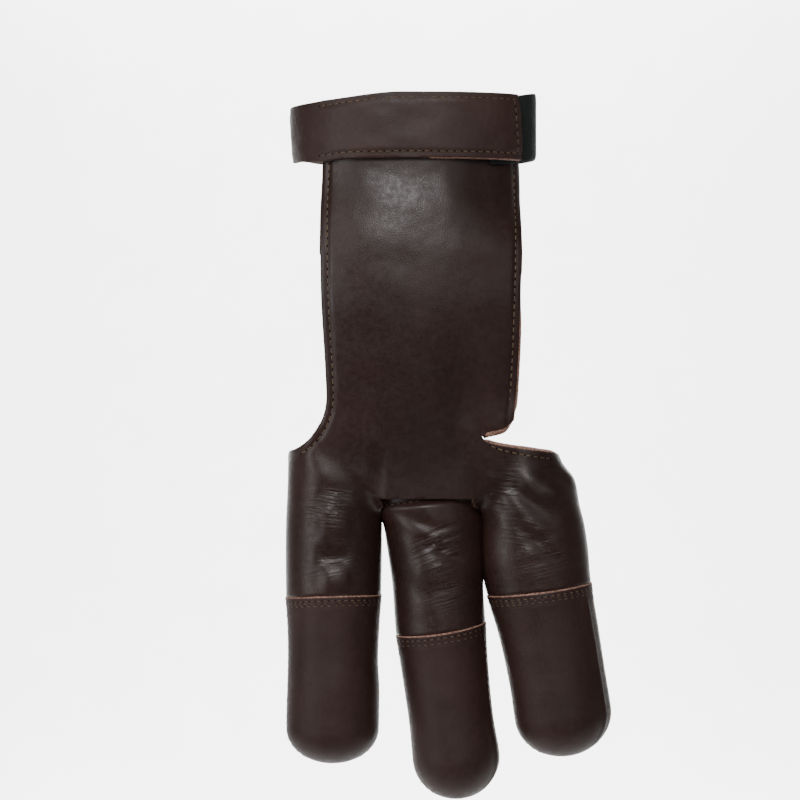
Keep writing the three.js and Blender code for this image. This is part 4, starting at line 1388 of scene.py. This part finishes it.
# Studio: the view and the light of the photograph

PHOTO_SPAN = 228.0
CAMERA_REACH = 900.0
CAMERA_X = -4.3
CAMERA_Z = -77.8
FRONT_Y = -20.0
SENSOR = 36.0
FLOOR_Z = -420.0
FLOOR_FRONT_Y = -160.0
FLOOR_HALF = 3000.0
WALL_FOOT_Y = 500.0
WALL_ROUND = 500.0
WALL_TOP_Z = 2600.0
WALL_STEPS = 12
DAYLIGHT = 0.13


def camera():
    data = bpy.data.cameras.new("camera")
    data.sensor_width = SENSOR
    data.lens = SENSOR * CAMERA_REACH / PHOTO_SPAN
    data.clip_start = 0.01
    data.clip_end = 20
    eye = in_scene("camera", data)
    eye.location = Vector((CAMERA_X, FRONT_Y - CAMERA_REACH, CAMERA_Z)) * MM
    eye.rotation_euler = (math.pi / 2, 0, 0)
    bpy.context.scene.camera = eye


def soft_light(name, place, target, width, height, watts):
    data = bpy.data.lights.new(name, "AREA")
    data.shape = "RECTANGLE"
    data.size = width * MM
    data.size_y = height * MM
    data.energy = watts
    lamp = in_scene(name, data)
    lamp.location = Vector(place) * MM
    lamp.rotation_euler = (Vector(target) - Vector(place)).to_track_quat("-Z", "Y").to_euler()


def backdrop():
    """Seamless studio paper, matt with a faint tooth, that curves up behind."""
    profile = [(FLOOR_FRONT_Y, FLOOR_Z), (WALL_FOOT_Y, FLOOR_Z)]
    for k in range(1, WALL_STEPS + 1):
        turn = math.pi / 2 * k / WALL_STEPS
        y = WALL_FOOT_Y + WALL_ROUND * math.sin(turn)
        profile.append((y, FLOOR_Z + WALL_ROUND * (1 - math.cos(turn))))
    profile.append((WALL_FOOT_Y + WALL_ROUND, WALL_TOP_Z))
    points = [(x, y, z) for y, z in profile for x in (-FLOOR_HALF, FLOOR_HALF)]
    faces = [(2 * k, 2 * k + 1, 2 * k + 3, 2 * k + 2) for k in range(len(profile) - 1)]
    paper = fibrous("matt_white_paper", "#f4f4f4", "#f8f8f8", PAPER_TOOTH, 2.0, 0.2, {"Roughness": 0.9})
    new_piece("floor", points, faces, [0] * len(faces), (paper,))


def daylight():
    world = bpy.data.worlds.new("studio")
    world.use_nodes = True
    background = world.node_tree.nodes["Background"]
    background.inputs["Color"].default_value = (1.0, 1.0, 1.0, 1.0)
    background.inputs["Strength"].default_value = DAYLIGHT
    bpy.context.scene.world = world


camera()
backdrop()
daylight()
soft_light("key", (-130, -960, 500), (0, 0, -60), 420, 360, 10.2)
soft_light("front", (40, -1150, -40), (0, 0, -80), 160, 420, 1.0)
soft_light("fill", (-1000, -800, 60), (0, 0, -90), 500, 900, 8.0)
soft_light("side", (600, -950, 250), (0, 0, -90), 500, 700, 1.5)
soft_light("wall_top", (0, 620, 620), (0, 1000, 0), 700, 160, 33)
soft_light("wall_foot", (0, 700, -390), (0, 1000, -80), 700, 120, 18.5)
